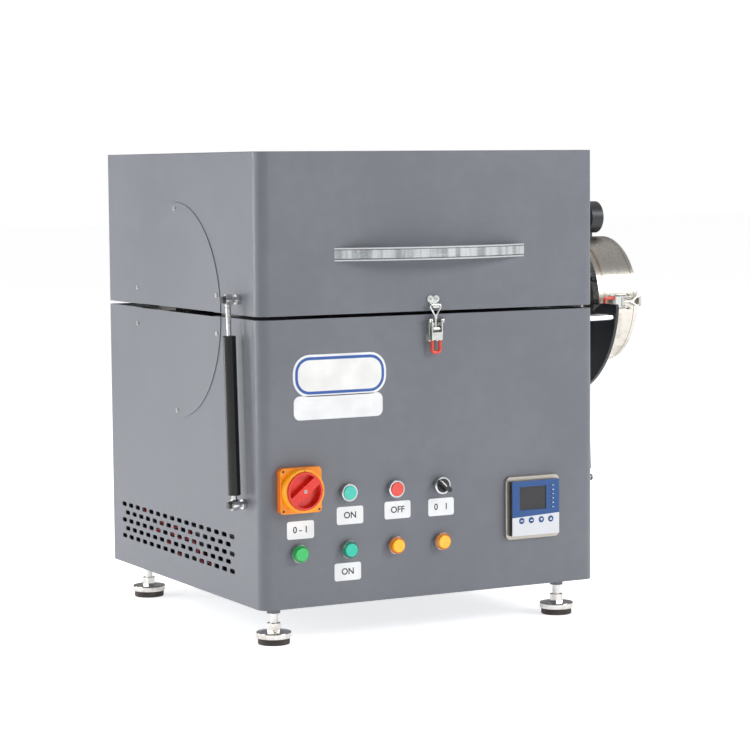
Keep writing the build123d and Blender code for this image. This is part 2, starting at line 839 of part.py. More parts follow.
# Vacuum gauge on top of the barrel, facing right
gauge_x = gauge_front - gauge_depth / 2
gauge_z = axis_z + barrel_radius + gauge_height
dial_x = gauge_front - gauge_recess
with BuildPart() as gauge_case:
    extrude(disc(side.offset(gauge_front), axis_y, gauge_z, gauge_radius), amount=-gauge_depth)
    chamfer(gauge_case.faces().sort_by(Axis.X)[0].edges(), length=gauge_rim)
    with BuildSketch(plan.offset(axis_z + barrel_radius - barrel_wall)):
        with Locations((gauge_x, axis_y)):
            RegularPolygon(gauge_stem, 6, major_radius=False)
    extrude(amount=gauge_height)
    extrude(disc(side, axis_y, axis_z, barrel_radius), amount=door_inner, mode=Mode.SUBTRACT)
    recess = disc(side.offset(gauge_front), axis_y, gauge_z, gauge_radius - gauge_rim)
    extrude(recess, amount=-gauge_recess, mode=Mode.SUBTRACT)
    spindle = disc(side.offset(dial_x), axis_y, gauge_z, needle_pin)
    extrude(spindle, amount=gauge_recess - slack)
finish(gauge_case.part, "gauge_case")

with BuildPart() as gauge_needle:
    with BuildSketch(side.offset(dial_x + slack)):
        with Locations((axis_y, gauge_z)):
            Circle(needle_hub)
            with PolarLocations(needle_length / 2, 1, start_angle=needle_rest):
                Rectangle(needle_length, needle_width)
            Circle(needle_pin + running, mode=Mode.SUBTRACT)
    extrude(amount=needle_sheet)
finish(gauge_needle.part, "gauge_needle")

# Vacuum port under the barrel, with a clamp flange
port_outer = port_bore + port_wall
port_end = axis_z - barrel_radius - port_length
with BuildPart() as vacuum_port:
    extrude(disc(plan.offset(port_end), port_x, axis_y, port_outer), amount=port_length + barrel_wall)
    extrude(disc(plan.offset(port_end), port_x, axis_y, port_flange_radius), amount=port_flange_thickness)
    shoulder_face = plan.offset(port_end + port_flange_thickness)
    taper_height = port_flange_thickness / 2
    extrude(disc(shoulder_face, port_x, axis_y, port_flange_radius), amount=taper_height, taper=45)
    extrude(disc(side, axis_y, axis_z, barrel_radius), amount=door_inner, mode=Mode.SUBTRACT)
    extrude(disc(plan, port_x, axis_y, port_bore), amount=axis_z, mode=Mode.SUBTRACT)
finish(vacuum_port.part, "vacuum_port")

# Lid: walls, top sheet, rear panel and deck
finish(casing(lid_bottom, lid_height - sheet), "lid_shell")

with BuildPart() as lid_top:
    extrude(casing_plan(plan.offset(lid_top_z - sheet), 0), amount=sheet)
    chamfer(lid_top.faces().sort_by(Axis.Z)[-1].edges(), length=sheet / 2)
finish(lid_top.part, "lid_top")

with BuildPart() as lid_rear_panel:
    rear_top = lid_top_z - 2 * sheet
    extrude(panel(rear_face, sheet, lid_bottom + sheet, body_width - sheet, rear_top), amount=-sheet)
finish(lid_rear_panel.part, "lid_rear_panel")

finish(deck(lid_bottom + sheet, lid_bottom + 2 * sheet), "lid_deck")

# Rear hinges: the base leaves carry the pins, the lid leaves the middle knuckles
leaf_y = body_depth + sheet
hinge_third = hinge_length / 3
with BuildPart() as hinge_base_leaves:
    for start in hinge_x:
        leaf_top = parting_z - hinge_knuckle - loose
        leaf_end = parting_z - hinge_leaf_height
        leaf = panel(rear_face.offset(-sheet), start, leaf_end, start + hinge_length, leaf_top)
        extrude(leaf, amount=-hinge_leaf)
        for knuckle_x in (start, start + 2 * hinge_third):
            end_face = side.offset(knuckle_x)
            extrude(disc(end_face, hinge_y, parting_z, hinge_knuckle), amount=hinge_third)
            neck = panel(end_face, leaf_y, leaf_top - slack, leaf_y + hinge_leaf, parting_z)
            extrude(neck, amount=hinge_third)
        extrude(disc(side.offset(start), hinge_y, parting_z, hinge_pin), amount=hinge_length)
finish(hinge_base_leaves.part, "hinge_base_leaves")

with BuildPart() as hinge_lid_leaves:
    for start in hinge_x:
        leaf_low = parting_z + hinge_knuckle + loose
        leaf_end = parting_z + hinge_leaf_height
        leaf = panel(rear_face.offset(-sheet), start, leaf_low, start + hinge_length, leaf_end)
        extrude(leaf, amount=-hinge_leaf)
        end_face = side.offset(start + hinge_third + loose)
        knuckle_length = hinge_third - 2 * loose
        extrude(disc(end_face, hinge_y, parting_z, hinge_knuckle), amount=knuckle_length)
        neck = panel(end_face, leaf_y, parting_z, leaf_y + hinge_leaf, leaf_low + slack)
        extrude(neck, amount=knuckle_length)
        pin_hole = disc(end_face, hinge_y, parting_z, hinge_pin + running)
        extrude(pin_hole, amount=knuckle_length, mode=Mode.SUBTRACT)
finish(hinge_lid_leaves.part, "hinge_lid_leaves")

# Bowed handle across the lid's front, with a raised border round its outer face
handle_right = handle_left + handle_length
handle_middle = handle_left + handle_length / 2
with BuildPart() as handle:
    with BuildSketch(plan.offset(handle_z)):
        with BuildLine():
            ThreePointArc((handle_left, 0), (handle_middle, -handle_rise), (handle_right, 0))
            Line((handle_right, 0), (handle_right - handle_foot, 0))
            inner_rise = handle_rise - handle_thickness
            inner_left = handle_left + handle_foot
            ThreePointArc(
                (handle_right - handle_foot, 0), (handle_middle, -inner_rise), (inner_left, 0)
            )
            Line((inner_left, 0), (handle_left, 0))
        make_face()
    extrude(amount=handle_height)
    with BuildSketch(plan.offset(handle_z + handle_border)):
        with BuildLine():
            ThreePointArc((handle_left, 0), (handle_middle, -handle_rise), (handle_right, 0))
            recess_rise = handle_rise - handle_recess
            ThreePointArc((handle_right, 0), (handle_middle, -recess_rise), (handle_left, 0))
        make_face()
    extrude(amount=handle_height - 2 * handle_border, mode=Mode.SUBTRACT)
finish(handle.part, "handle")

# Gas struts, one outside each side wall: the tube's eye turns on a bolt in the base, the rod's eye
# carries its own bolt and ends just off the lid
strut_line = Vector(0, strut_high_y - strut_low_y, strut_high_z - strut_low_z)
strut_length = strut_line.length
strut_sides = (("left", 1, -strut_stand), ("right", -1, body_width + strut_stand))
tube_stop = strut_tube_start + strut_tube_length
rod_low = tube_stop - strut_rod_hidden
rod_high = tube_stop + strut_rod_shown
for name, inward, x in strut_sides:
    line = Plane(origin=at(x, strut_low_y, strut_low_z), x_dir=(1, 0, 0), z_dir=strut_line)
    eye_face = side.offset(x - eye_width / 2)
    with BuildPart() as strut_tube:
        extrude(disc(line.offset(strut_tube_start), 0, 0, strut_tube_radius), amount=strut_tube_length)
        chamfer(strut_tube.edges().filter_by(GeomType.CIRCLE), length=slack)
        extrude(disc(line, 0, 0, eye_neck), amount=strut_tube_start)
        extrude(disc(eye_face, strut_low_y, strut_low_z, eye_radius), amount=eye_width)
        bore = disc(line.offset(strut_tube_start + strut_end_wall), 0, 0, strut_bore)
        extrude(bore, amount=strut_tube_length - 2 * strut_end_wall, mode=Mode.SUBTRACT)
        rod_hole = disc(line.offset(tube_stop), 0, 0, strut_rod_radius + running)
        extrude(rod_hole, amount=-strut_end_wall, mode=Mode.SUBTRACT)
        bolt_hole = disc(eye_face, strut_low_y, strut_low_z, bolt_radius + running)
        extrude(bolt_hole, amount=eye_width, mode=Mode.SUBTRACT)
    finish(strut_tube.part, f"strut_tube_{name}")

    with BuildPart() as strut_rod:
        extrude(disc(line.offset(rod_low), 0, 0, strut_rod_radius), amount=rod_high - rod_low)
        extrude(disc(line.offset(rod_low), 0, 0, strut_bore - running), amount=strut_piston)
        extrude(disc(line.offset(rod_high), 0, 0, eye_neck), amount=strut_length - rod_high)
        extrude(disc(eye_face, strut_high_y, strut_high_z, eye_radius), amount=eye_width)
        for face_x, radius, reach in (
            (x + inward * eye_width / 2, spacer_radius, strut_stand - eye_width / 2 - loose),
            (x + inward * (strut_stand - loose), strut_collar_radius, -strut_collar_width),
            (x - inward * eye_width / 2, washer_radius, -washer),
            (x - inward * (eye_width / 2 + washer), bolt_head_radius, -bolt_head),
        ):
            extrude(disc(side.offset(face_x), strut_high_y, strut_high_z, radius), amount=inward * reach)
    finish(strut_rod.part, f"strut_rod_{name}")

with BuildPart() as strut_lower_bolts:
    for name, inward, x in strut_sides:
        wall_x = x + inward * strut_stand
        for face_x, radius, reach in (
            (wall_x, bolt_radius, strut_stand + bolt_end),
            (wall_x, spacer_radius, strut_stand - eye_width / 2 - loose),
            (wall_x, strut_collar_radius, strut_collar_width),
            (x - inward * (eye_width / 2 + loose), washer_radius, washer),
            (x - inward * bolt_end, bolt_head_radius, bolt_head),
        ):
            extrude(disc(side.offset(face_x), strut_low_y, strut_low_z, radius), amount=-inward * reach)
finish(strut_lower_bolts.part, "strut_lower_bolts")

# Main switch: square plate, round collar, and a turning knob with a bar across it
knob_start = switch_well_floor + 2 * slack
knob_top = knob_start + knob_disc + knob_bar_height
with BuildPart() as switch_plate_piece:
    half = switch_plate / 2
    plate = panel(
        front, switch_x - half, switch_z - half, switch_x + half, switch_z + half, switch_plate_corner
    )
    extrude(plate, amount=switch_plate_height)
    chamfer(switch_plate_piece.faces().sort_by(Axis.Y)[0].edges(), length=slack)
    extrude(disc(front, switch_x, switch_z, switch_collar_radius), amount=switch_collar_height)
    well = disc(front.offset(switch_well_floor), switch_x, switch_z, switch_well_radius)
    extrude(well, amount=switch_collar_height, mode=Mode.SUBTRACT)
    shaft_hole = disc(front, switch_x, switch_z, switch_shaft + running)
    extrude(shaft_hole, amount=switch_well_floor, mode=Mode.SUBTRACT)
finish(switch_plate_piece.part, "switch_plate")

with BuildPart() as switch_knob:
    extrude(disc(front.offset(knob_start), switch_x, switch_z, knob_radius), amount=knob_top - knob_start)
    dish = disc(front.offset(knob_start + knob_disc), switch_x, switch_z, knob_radius - knob_rim)
    extrude(dish, amount=knob_bar_height, mode=Mode.SUBTRACT)
    with BuildSketch(front.offset(knob_start + knob_disc)):
        with Locations((switch_x, switch_z)):
            Rectangle(2 * knob_radius - knob_rim, knob_bar_width, rotation=knob_bar_angle)
    extrude(amount=knob_bar_height)
    shaft_reach = knob_start + sheet + 2 * switch_well_floor
    extrude(disc(front.offset(knob_start), switch_x, switch_z, switch_shaft), amount=-shaft_reach)
finish(switch_knob.part, "switch_knob")

# Push buttons, selector and lamps
cap_radius = bezel_bore - loose
cap_depth = bezel_height + cap_proud - bezel_floor - cap_travel - loose
cap_top = bezel_height + cap_proud
with BuildPart() as panel_bezels:
    for x in column_x[1:]:
        extrude(disc(front, x, button_z, bezel_radius), amount=bezel_height - slack)
        extrude(disc(front.offset(bezel_height - slack), x, button_z, bezel_radius), amount=slack, taper=45)
        extrude(disc(front, x, button_z, neck_radius), amount=-neck_length)
        extrude(disc(front.offset(-sheet), x, button_z, nut_radius), amount=-nut_thickness)
        cap_bore = disc(front.offset(bezel_floor), x, button_z, bezel_bore)
        extrude(cap_bore, amount=bezel_height, mode=Mode.SUBTRACT)
        stem_bore = disc(front.offset(-neck_length), x, button_z, neck_bore)
        extrude(stem_bore, amount=neck_length + bezel_height, mode=Mode.SUBTRACT)
    for x in column_x:
        extrude(disc(front, x, lamp_z, bezel_radius), amount=lamp_bezel_height)
        extrude(disc(front, x, lamp_z, neck_radius), amount=-lamp_body_depth)
        extrude(disc(front.offset(-sheet), x, lamp_z, nut_radius), amount=-nut_thickness)
        socket = disc(front.offset(lamp_bezel_height), x, lamp_z, lens_step_radius + running)
        extrude(socket, amount=-lens_skirt, mode=Mode.SUBTRACT)
finish(panel_bezels.part, "panel_bezels")

with BuildPart() as lamp_lenses:
    for x in column_x:
        extrude(disc(front.offset(lamp_bezel_height), x, lamp_z, lens_step_radius), amount=-lens_skirt)
        cap_face = front.offset(lamp_bezel_height + lens_skirt)
        extrude(disc(front.offset(lamp_bezel_height), x, lamp_z, lens_radius), amount=lens_skirt)
        extrude(disc(cap_face, x, lamp_z, lens_cap_radius), amount=lens_cap_height, taper=6)
finish(lamp_lenses.part, "lamp_lenses")

for name, x in (("start_button", column_x[1]), ("stop_button", column_x[2])):
    with BuildPart() as push_cap:
        extrude(disc(front.offset(cap_top), x, button_z, cap_radius), amount=-cap_depth)
        chamfer(push_cap.faces().sort_by(Axis.Y)[0].edges(), length=slack)
        stem_face = front.offset(cap_top - cap_depth)
        stem_reach = cap_top - cap_depth + neck_length - cap_travel - slack
        extrude(disc(stem_face, x, button_z, neck_bore - loose), amount=-stem_reach)
    finish(push_cap.part, name)

with BuildPart() as selector_knob:
    selector_face = front.offset(bezel_height + slack / 2)
    extrude(disc(selector_face, column_x[3], button_z, cap_radius), amount=-cap_depth)
    stem_face = front.offset(bezel_height + slack / 2 - cap_depth)
    extrude(disc(stem_face, column_x[3], button_z, neck_bore - loose), amount=-neck_length)
    with BuildSketch(selector_face):
        with Locations((column_x[3], button_z)):
            SlotOverall(selector_bar, selector_width, rotation=90 + selector_rest)
    extrude(amount=selector_height)
finish(selector_knob.part, "selector_knob")

with BuildPart() as contact_blocks:
    for x in column_x[1:]:
        with BuildSketch(front.offset(-neck_length)):
            with Locations((x, button_z)):
                Rectangle(block_width, block_height)
        extrude(amount=-block_depth)
    with BuildSketch(front.offset(-sheet)):
        with Locations((switch_x, switch_z)):
            Rectangle(switch_block, switch_block)
    extrude(amount=-switch_block_depth)
    shaft_hole = disc(front.offset(-sheet), switch_x, switch_z, switch_shaft + loose)
    extrude(shaft_hole, amount=-(2 * switch_well_floor + slack), mode=Mode.SUBTRACT)
finish(contact_blocks.part, "contact_blocks")


def controller_square(plane, width, height, corner_round=0):
    """A rectangle about the controller's centre."""
    u, v = controller_x, controller_z
    return panel(plane, u - width / 2, v - height / 2, u + width / 2, v + height / 2, corner_round)


# Temperature controller: metal trim, housing, face and four keys
face_back = controller_proud - controller_face_sheet
key_low = controller_proud + key_proud - key_depth
with BuildPart() as controller_case:
    extrude(controller_square(front, trim_width, trim_height, trim_corner), amount=trim_thickness)
    chamfer(controller_case.faces().sort_by(Axis.Y)[0].edges(), length=slack)
    hole = controller_square(front, controller_cutout + slack, controller_cutout + slack)
    extrude(hole, amount=trim_thickness, mode=Mode.SUBTRACT)
    housing = controller_square(front.offset(trim_thickness), controller_cutout, controller_cutout)
    extrude(housing, amount=-controller_depth)
    rim = controller_square(front.offset(trim_thickness), controller_face, controller_face)
    extrude(rim, amount=face_back - trim_thickness)
    with BuildSketch(front.offset(face_back)):
        with Locations(*[(x, key_z) for x in key_x]):
            Circle(key_radius + loose)
    extrude(amount=-(face_back - key_low + key_travel + loose), mode=Mode.SUBTRACT)
finish(controller_case.part, "controller_case")

with BuildPart() as controller_front:
    extrude(
        controller_square(front.offset(face_back), controller_face, controller_face),
        amount=controller_face_sheet,
    )
    with BuildSketch(front.offset(controller_proud)):
        with Locations((screen_x, screen_z)):
            Rectangle(screen_width, screen_height)
    extrude(amount=-screen_recess, mode=Mode.SUBTRACT)
    with BuildSketch(front.offset(controller_proud)):
        with Locations(*[(x, key_z) for x in key_x]):
            Circle(key_radius + loose)
    extrude(amount=-controller_face_sheet, mode=Mode.SUBTRACT)
finish(controller_front.part, "controller_face")

for number, x in enumerate(key_x, 1):
    with BuildPart() as key:
        extrude(disc(front.offset(key_low), x, key_z, key_radius), amount=key_depth)
        chamfer(key.faces().sort_by(Axis.Y)[0].edges(), length=loose)
    finish(key.part, f"key_{number}")

# Electrical gear on the floor pan: a transformer and a row of relays on a plate
gear_floor = plan.offset(2 * sheet)
with BuildPart() as control_gear:
    core_y = gear_y + (gear_depth - core_depth) / 2
    core = panel(gear_floor, gear_x, core_y, gear_x + gear_width, core_y + core_depth)
    extrude(core, amount=core_height)
    coil = panel(
        gear_floor.offset((core_height - coil_height) / 2), gear_x + flange_width, gear_y,
        gear_x + gear_width - flange_width, gear_y + gear_depth, corner_radius,
    )
    extrude(coil, amount=coil_height)
    relay_plate = panel(gear_floor, gear_x, rail_y, gear_x + rail_length, rail_y + relay_depth)
    extrude(relay_plate, amount=sheet)
    for number in range(relay_count):
        x = gear_x + number * rail_length / relay_count
        relay = panel(gear_floor, x, rail_y, x + relay_width, rail_y + relay_depth)
        extrude(relay, amount=relay_height)
finish(control_gear.part, "control_gear")

# Levelling feet: rubber pad, pressed cup, hexagon and stud
for number, (x, y) in enumerate(foot_places, 1):
    ground = plan.offset(-foot_height)
    cup_face = ground.offset(pad_height)
    slope_face = cup_face.offset(cup_band)
    hex_face = slope_face.offset(cup_slope)
    with BuildPart() as foot_metal:
        extrude(disc(cup_face, x, y, cup_radius), amount=cup_band)
        fillet(foot_metal.edges().filter_by(GeomType.CIRCLE), radius=cup_round)
        with BuildSketch(slope_face):
            with Locations((x, y)):
                Circle(cup_radius - cup_round)
        with BuildSketch(hex_face):
            with Locations((x, y)):
                Circle(cup_neck)
        loft()
        with BuildSketch(hex_face):
            with Locations((x, y)):
                RegularPolygon(foot_hex / 2, 6, major_radius=False)
        extrude(amount=foot_hex_height)
        stud_length = foot_height + stud_top - pad_height - cup_band - cup_slope
        extrude(disc(hex_face, x, y, stud_radius), amount=stud_length)
    with BuildPart() as foot_pad:
        extrude(disc(ground, x, y, pad_radius), amount=pad_height)
        chamfer(foot_pad.edges().filter_by(GeomType.CIRCLE), length=slack)
    finish(Compound(children=[foot_metal.part, foot_pad.part]), f"foot_{number}")
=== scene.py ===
import logging
import math
from dataclasses import dataclass
from enum import Enum
from typing import Callable, Dict, List, Optional, Sequence, Tuple, Union

import bmesh
import bpy
from mathutils import Matrix, Vector


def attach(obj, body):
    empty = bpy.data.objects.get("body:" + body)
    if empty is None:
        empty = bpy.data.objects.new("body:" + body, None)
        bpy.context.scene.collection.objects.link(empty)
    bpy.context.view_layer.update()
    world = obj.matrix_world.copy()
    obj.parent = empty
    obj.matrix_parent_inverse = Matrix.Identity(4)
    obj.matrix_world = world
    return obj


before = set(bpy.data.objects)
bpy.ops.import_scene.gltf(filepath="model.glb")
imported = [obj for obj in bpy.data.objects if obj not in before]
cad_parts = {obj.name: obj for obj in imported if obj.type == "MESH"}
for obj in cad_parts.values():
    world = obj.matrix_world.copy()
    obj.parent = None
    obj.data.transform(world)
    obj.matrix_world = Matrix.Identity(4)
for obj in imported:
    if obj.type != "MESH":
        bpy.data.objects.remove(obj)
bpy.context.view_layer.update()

log = logging.getLogger("furnace")

Point = Tuple[float, float, float]
Colour = Tuple[float, float, float]
Number = Union[float, "Value"]

CORNER = Vector((-0.4292, -0.3165, 0.066))
AXIS_Y = 338.0
AXIS_Z = 475.0


def place(x: float, y: float, z: float) -> Vector:
    """A point in millimetres from the casing's lower left front corner, in the row frame."""
    return CORNER + Vector((x, y, z)) / 1000.0


class Facing(Enum):
    """The way a fitting looks out of the furnace."""

    FRONT = (0.0, -1.0, 0.0)
    BACK = (0.0, 1.0, 0.0)
    LEFT = (-1.0, 0.0, 0.0)
    RIGHT = (1.0, 0.0, 0.0)
    UP = (0.0, 0.0, 1.0)


# Shader maths


class Value:
    """A number that varies over a surface, with Python's operators."""

    def __init__(self, graph: "Graph", socket: bpy.types.NodeSocket) -> None:
        """Keeps the socket and the graph that it belongs to."""
        self.graph = graph
        self.socket = socket

    def _maths(self, operation: str, first: Number, second: Number) -> "Value":
        """Adds one Math node."""
        node = self.graph.node("ShaderNodeMath", {"operation": operation}, {0: first, 1: second})
        return Value(self.graph, node.outputs[0])

    def __add__(self, other: Number) -> "Value":
        """Sum."""
        return self._maths("ADD", self, other)

    __radd__ = __add__

    def __sub__(self, other: Number) -> "Value":
        """Difference."""
        return self._maths("SUBTRACT", self, other)

    def __rsub__(self, other: Number) -> "Value":
        """Difference from a number."""
        return self._maths("SUBTRACT", other, self)

    def __mul__(self, other: Number) -> "Value":
        """Product."""
        return self._maths("MULTIPLY", self, other)

    __rmul__ = __mul__

    def __gt__(self, other: Number) -> "Value":
        """1 where this is the greater."""
        return self._maths("GREATER_THAN", self, other)

    def __lt__(self, other: Number) -> "Value":
        """1 where this is the smaller."""
        return self._maths("LESS_THAN", self, other)

    def between(self, low: Number, high: Number) -> "Value":
        """1 between two limits."""
        return (self > low) * (self < high)

    def ramp(self, low: float, high: float) -> "Value":
        """0 below low, 1 above high, smooth between them."""
        node = self.graph.node(
            "ShaderNodeMapRange", {"interpolation_type": "SMOOTHSTEP"}, {"Value": self, 1: low, 2: high}
        )
        return Value(self.graph, node.outputs[0])


class Graph:
    """A material's nodes."""

    def __init__(self, name: str) -> None:
        """Makes an empty material.

        Args:
            name: The finish's name.
        """
        self.material = bpy.data.materials.new(name)
        self.material.use_nodes = True
        self.tree = self.material.node_tree
        self.tree.nodes.clear()

    def node(
        self, kind: str, settings: Optional[Dict] = None, inputs: Optional[Dict] = None
    ) -> bpy.types.Node:
        """Adds a node.

        Args:
            kind: The node's type.
            settings: Its own settings, set first.
            inputs: Values, sockets or Value objects by socket name or number.

        Returns:
            The node.
        """
        node = self.tree.nodes.new(kind)
        for key, value in (settings or {}).items():
            if key == "stops":
                ramp = node.color_ramp
                while len(ramp.elements) < len(value):
                    ramp.elements.new(0.5)
                for element, (position, colour) in zip(ramp.elements, value):
                    element.position = position
                    element.color = (*colour, 1.0)
            else:
                setattr(node, key, value)
        for key, value in (inputs or {}).items():
            socket = node.inputs[key]
            if isinstance(value, Value):
                value = value.socket
            if isinstance(value, bpy.types.NodeSocket):
                self.tree.links.new(value, socket)
            elif isinstance(value, tuple) and socket.type == "RGBA":
                socket.default_value = (*value[:3], 1.0)
            else:
                socket.default_value = value
        return node

    def coordinates(self) -> bpy.types.NodeSocket:
        """The piece's own coordinates, which are the row frame."""
        return self.node("ShaderNodeTexCoord").outputs["Object"]

    def scaled(self, x: float, y: float, z: float) -> bpy.types.NodeSocket:
        """The coordinates stretched by three factors."""
        inputs = {0: self.coordinates(), 1: (x, y, z)}
        return self.node("ShaderNodeVectorMath", {"operation": "MULTIPLY"}, inputs).outputs[0]

    def axes(self) -> Tuple[Value, Value, Value]:
        """X, Y and Z in millimetres from the casing's lower left front corner."""
        inputs = {0: self.coordinates(), 1: tuple(CORNER)}
        moved = self.node("ShaderNodeVectorMath", {"operation": "SUBTRACT"}, inputs).outputs[0]
        split = self.node("ShaderNodeSeparateXYZ", {}, {0: moved})
        return tuple(Value(self, split.outputs[i]) * 1000.0 for i in range(3))

    def noise(self, scale: float, detail: float = 3.0, vector=None, rough: float = 0.5) -> Value:
        """Soft noise from 0 to 1."""
        inputs = {"Vector": vector or self.coordinates(), "Scale": scale}
        inputs.update({"Detail": detail, "Roughness": rough})
        return Value(self, self.node("ShaderNodeTexNoise", {}, inputs).outputs[0])

    def cells(self, scale: float, feature: str = "F1", vector=None) -> bpy.types.Node:
        """Cells of a given density."""
        inputs = {"Vector": vector or self.coordinates(), "Scale": scale}
        return self.node("ShaderNodeTexVoronoi", {"feature": feature}, inputs)

    def blend(self, mask: Number, low, high) -> bpy.types.NodeSocket:
        """Two colours mixed by a mask."""
        settings = {"data_type": "RGBA", "clamp_factor": True}
        return self.node("ShaderNodeMix", settings, {0: mask, 6: low, 7: high}).outputs[2]

    def bump(self, height: Value, distance: float, strength: float = 1.0, under=None) -> bpy.types.NodeSocket:
        """A bump from a height, in metres."""
        inputs = {"Height": height, "Distance": distance, "Strength": strength}
        if under is not None:
            inputs["Normal"] = under
        return self.node("ShaderNodeBump", {}, inputs).outputs[0]

    def surface(self, **inputs) -> bpy.types.Material:
        """Ends the graph in a Principled shader.

        Args:
            inputs: Values by socket name, with underscores for spaces.

        Returns:
            The material.
        """
        named = {key.replace("_", " "): value for key, value in inputs.items()}
        shader = self.node("ShaderNodeBsdfPrincipled", {}, named)
        output = self.node("ShaderNodeOutputMaterial")
        self.tree.links.new(shader.outputs[0], output.inputs[0])
        return self.material


# Finishes


@dataclass(frozen=True)
class PowderCoat:
    """Charcoal powder coat with its orange peel in two sizes and a little dust."""

    name: str = "powder_coat"
    colour: Colour = (0.134, 0.144, 0.165)
    dusty: Colour = (0.152, 0.162, 0.184)
    peel: float = 560.0
    depth: float = 0.00016

    def make(self) -> bpy.types.Material:
        """Builds the material."""
        g = Graph(self.name)
        dust = (g.noise(5.0, 4.0) * 0.65 + g.noise(38.0, 3.0) * 0.35).ramp(0.38, 0.66)
        speck = g.noise(1500.0, 1.0).ramp(0.70, 0.80)
        colour = g.blend(dust, self.colour, self.dusty)
        colour = g.blend(speck * 0.5, colour, tuple(1.35 * c for c in self.colour))
        pebble = g.noise(self.peel, 1.5) * 0.6 + g.noise(self.peel * 0.45, 1.0) * 0.9
        roughness = 0.34 + 0.08 * dust + 0.06 * g.noise(90.0, 2.0)
        return g.surface(Base_Color=colour, Roughness=roughness, Normal=g.bump(pebble, self.depth))


@dataclass(frozen=True)
class Plastic:
    """Moulded plastic or enamel with faint flow marks, dust in its pores and a fine texture."""

    name: str
    colour: Colour
    roughness: float = 0.3
    texture: float = 900.0
    depth: float = 0.00002
    coat: float = 0.0

    def make(self) -> bpy.types.Material:
        """Builds the material."""
        g = Graph(self.name)
        flow = g.noise(26.0, 3.0)
        colour = g.blend(flow.ramp(0.3, 0.75), tuple(0.88 * c for c in self.colour), self.colour)
        roughness = self.roughness + 0.12 * (g.noise(160.0, 3.0) - 0.5)
        bump = g.bump(g.noise(self.texture, 2.0), self.depth)
        return g.surface(Base_Color=colour, Roughness=roughness, Normal=bump, Coat_Weight=self.coat)


@dataclass(frozen=True)
class Metal:
    """Bare or plated metal: mottled tone, rubbed patches and fine scratches along one direction."""

    name: str
    colour: Colour
    stain: Colour
    roughness: float
    spread: float = 0.1
    grain: Point = (40.0, 40.0, 900.0)
    depth: float = 0.00001
    mottle: float = 24.0

    def make(self) -> bpy.types.Material:
        """Builds the material."""
        g = Graph(self.name)
        tone = g.noise(self.mottle, 4.0).ramp(0.35, 0.72)
        scratch = g.noise(1.0, 3.0, g.scaled(*self.grain))
        rough = self.roughness + self.spread * (scratch - 0.5) + self.spread * 0.8 * tone
        colour = g.blend(tone, self.colour, self.stain)
        bump = g.bump(scratch, self.depth)
        return g.surface(Base_Color=colour, Metallic=1.0, Roughness=rough, Normal=bump)


@dataclass(frozen=True)
class TurnedSteel:
    """Stainless steel polished in rings about the tube's axis, with smears and a faint heat tint."""

    name: str = "turned_stainless"
    colour: Colour = (0.58, 0.55, 0.50)
    smear: Colour = (0.34, 0.31, 0.26)
    tint: Colour = (0.40, 0.27, 0.15)
    groove_x: float = 815.0

    def make(self) -> bpy.types.Material:
        """Builds the material."""
        g = Graph(self.name)
        x, y, z = g.axes()
        reach_y, reach_z = y - AXIS_Y, z - AXIS_Z
        squared = reach_y * reach_y + reach_z * reach_z
        radius = Value(g, g.node("ShaderNodeMath", {"operation": "SQRT"}, {0: squared}).outputs[0])
        settings = {"operation": "ARCTAN2"}
        angle = Value(g, g.node("ShaderNodeMath", settings, {0: reach_z, 1: reach_y}).outputs[0])
        parts = {0: x * 1.6, 1: radius * 1.6, 2: angle * 3.0}
        ringed = g.node("ShaderNodeCombineXYZ", {}, parts).outputs[0]
        lines = g.noise(1.0, 4.0, ringed, 0.7)
        smears = (g.noise(16.0, 4.0) * 0.6 + g.noise(70.0, 3.0) * 0.4).ramp(0.42, 0.70)
        colour = g.blend(smears, self.colour, self.smear)
        groove = 1.0 - (x - self.groove_x).between(-3.0, 3.5)
        warm = (1.0 - groove) * g.noise(30.0, 3.0).ramp(0.3, 0.6)
        colour = g.blend(warm * 0.8, colour, self.tint)
        rough = 0.16 + 0.16 * lines + 0.14 * smears
        return g.surface(Base_Color=colour, Metallic=1.0, Roughness=rough, Normal=g.bump(lines, 0.00006))


@dataclass(frozen=True)
class Galvanised:
    """Zinc-coated sheet with its spangle."""

    name: str = "galvanised_sheet"
    light: Colour = (0.62, 0.64, 0.66)
    dark: Colour = (0.44, 0.46, 0.49)

    def make(self) -> bpy.types.Material:
        """Builds the material."""
        g = Graph(self.name)
        crystal = g.cells(110.0)
        shade = g.node("ShaderNodeSeparateColor", {}, {0: crystal.outputs["Color"]}).outputs[0]
        tone = Value(g, shade)
        rough = 0.32 + 0.22 * tone
        bump = g.bump(g.noise(300.0, 3.0), 0.00003)
        colour = g.blend(tone, self.dark, self.light)
        return g.surface(Base_Color=colour, Metallic=1.0, Roughness=rough, Normal=bump)


@dataclass(frozen=True)
class FibreBoard:
    """White ceramic-fibre board: matted fibres, small pits and a little scorching."""

    name: str = "fibre_board"
    colour: Colour = (0.80, 0.78, 0.74)
    scorched: Colour = (0.58, 0.50, 0.40)

    def make(self) -> bpy.types.Material:
        """Builds the material."""
        g = Graph(self.name)
        fibres = g.noise(1.0, 4.0, g.scaled(240.0, 700.0, 700.0), 0.75)
        pits = Value(g, g.cells(420.0).outputs["Distance"])
        burn = g.noise(9.0, 4.0).ramp(0.52, 0.75)
        colour = g.blend(burn * 0.7, self.colour, self.scorched)
        colour = g.blend(fibres.ramp(0.2, 0.5), tuple(0.82 * c for c in self.colour), colour)
        height = fibres * 0.7 + pits * 0.5
        return g.surface(Base_Color=colour, Roughness=0.95, Normal=g.bump(height, 0.0006))


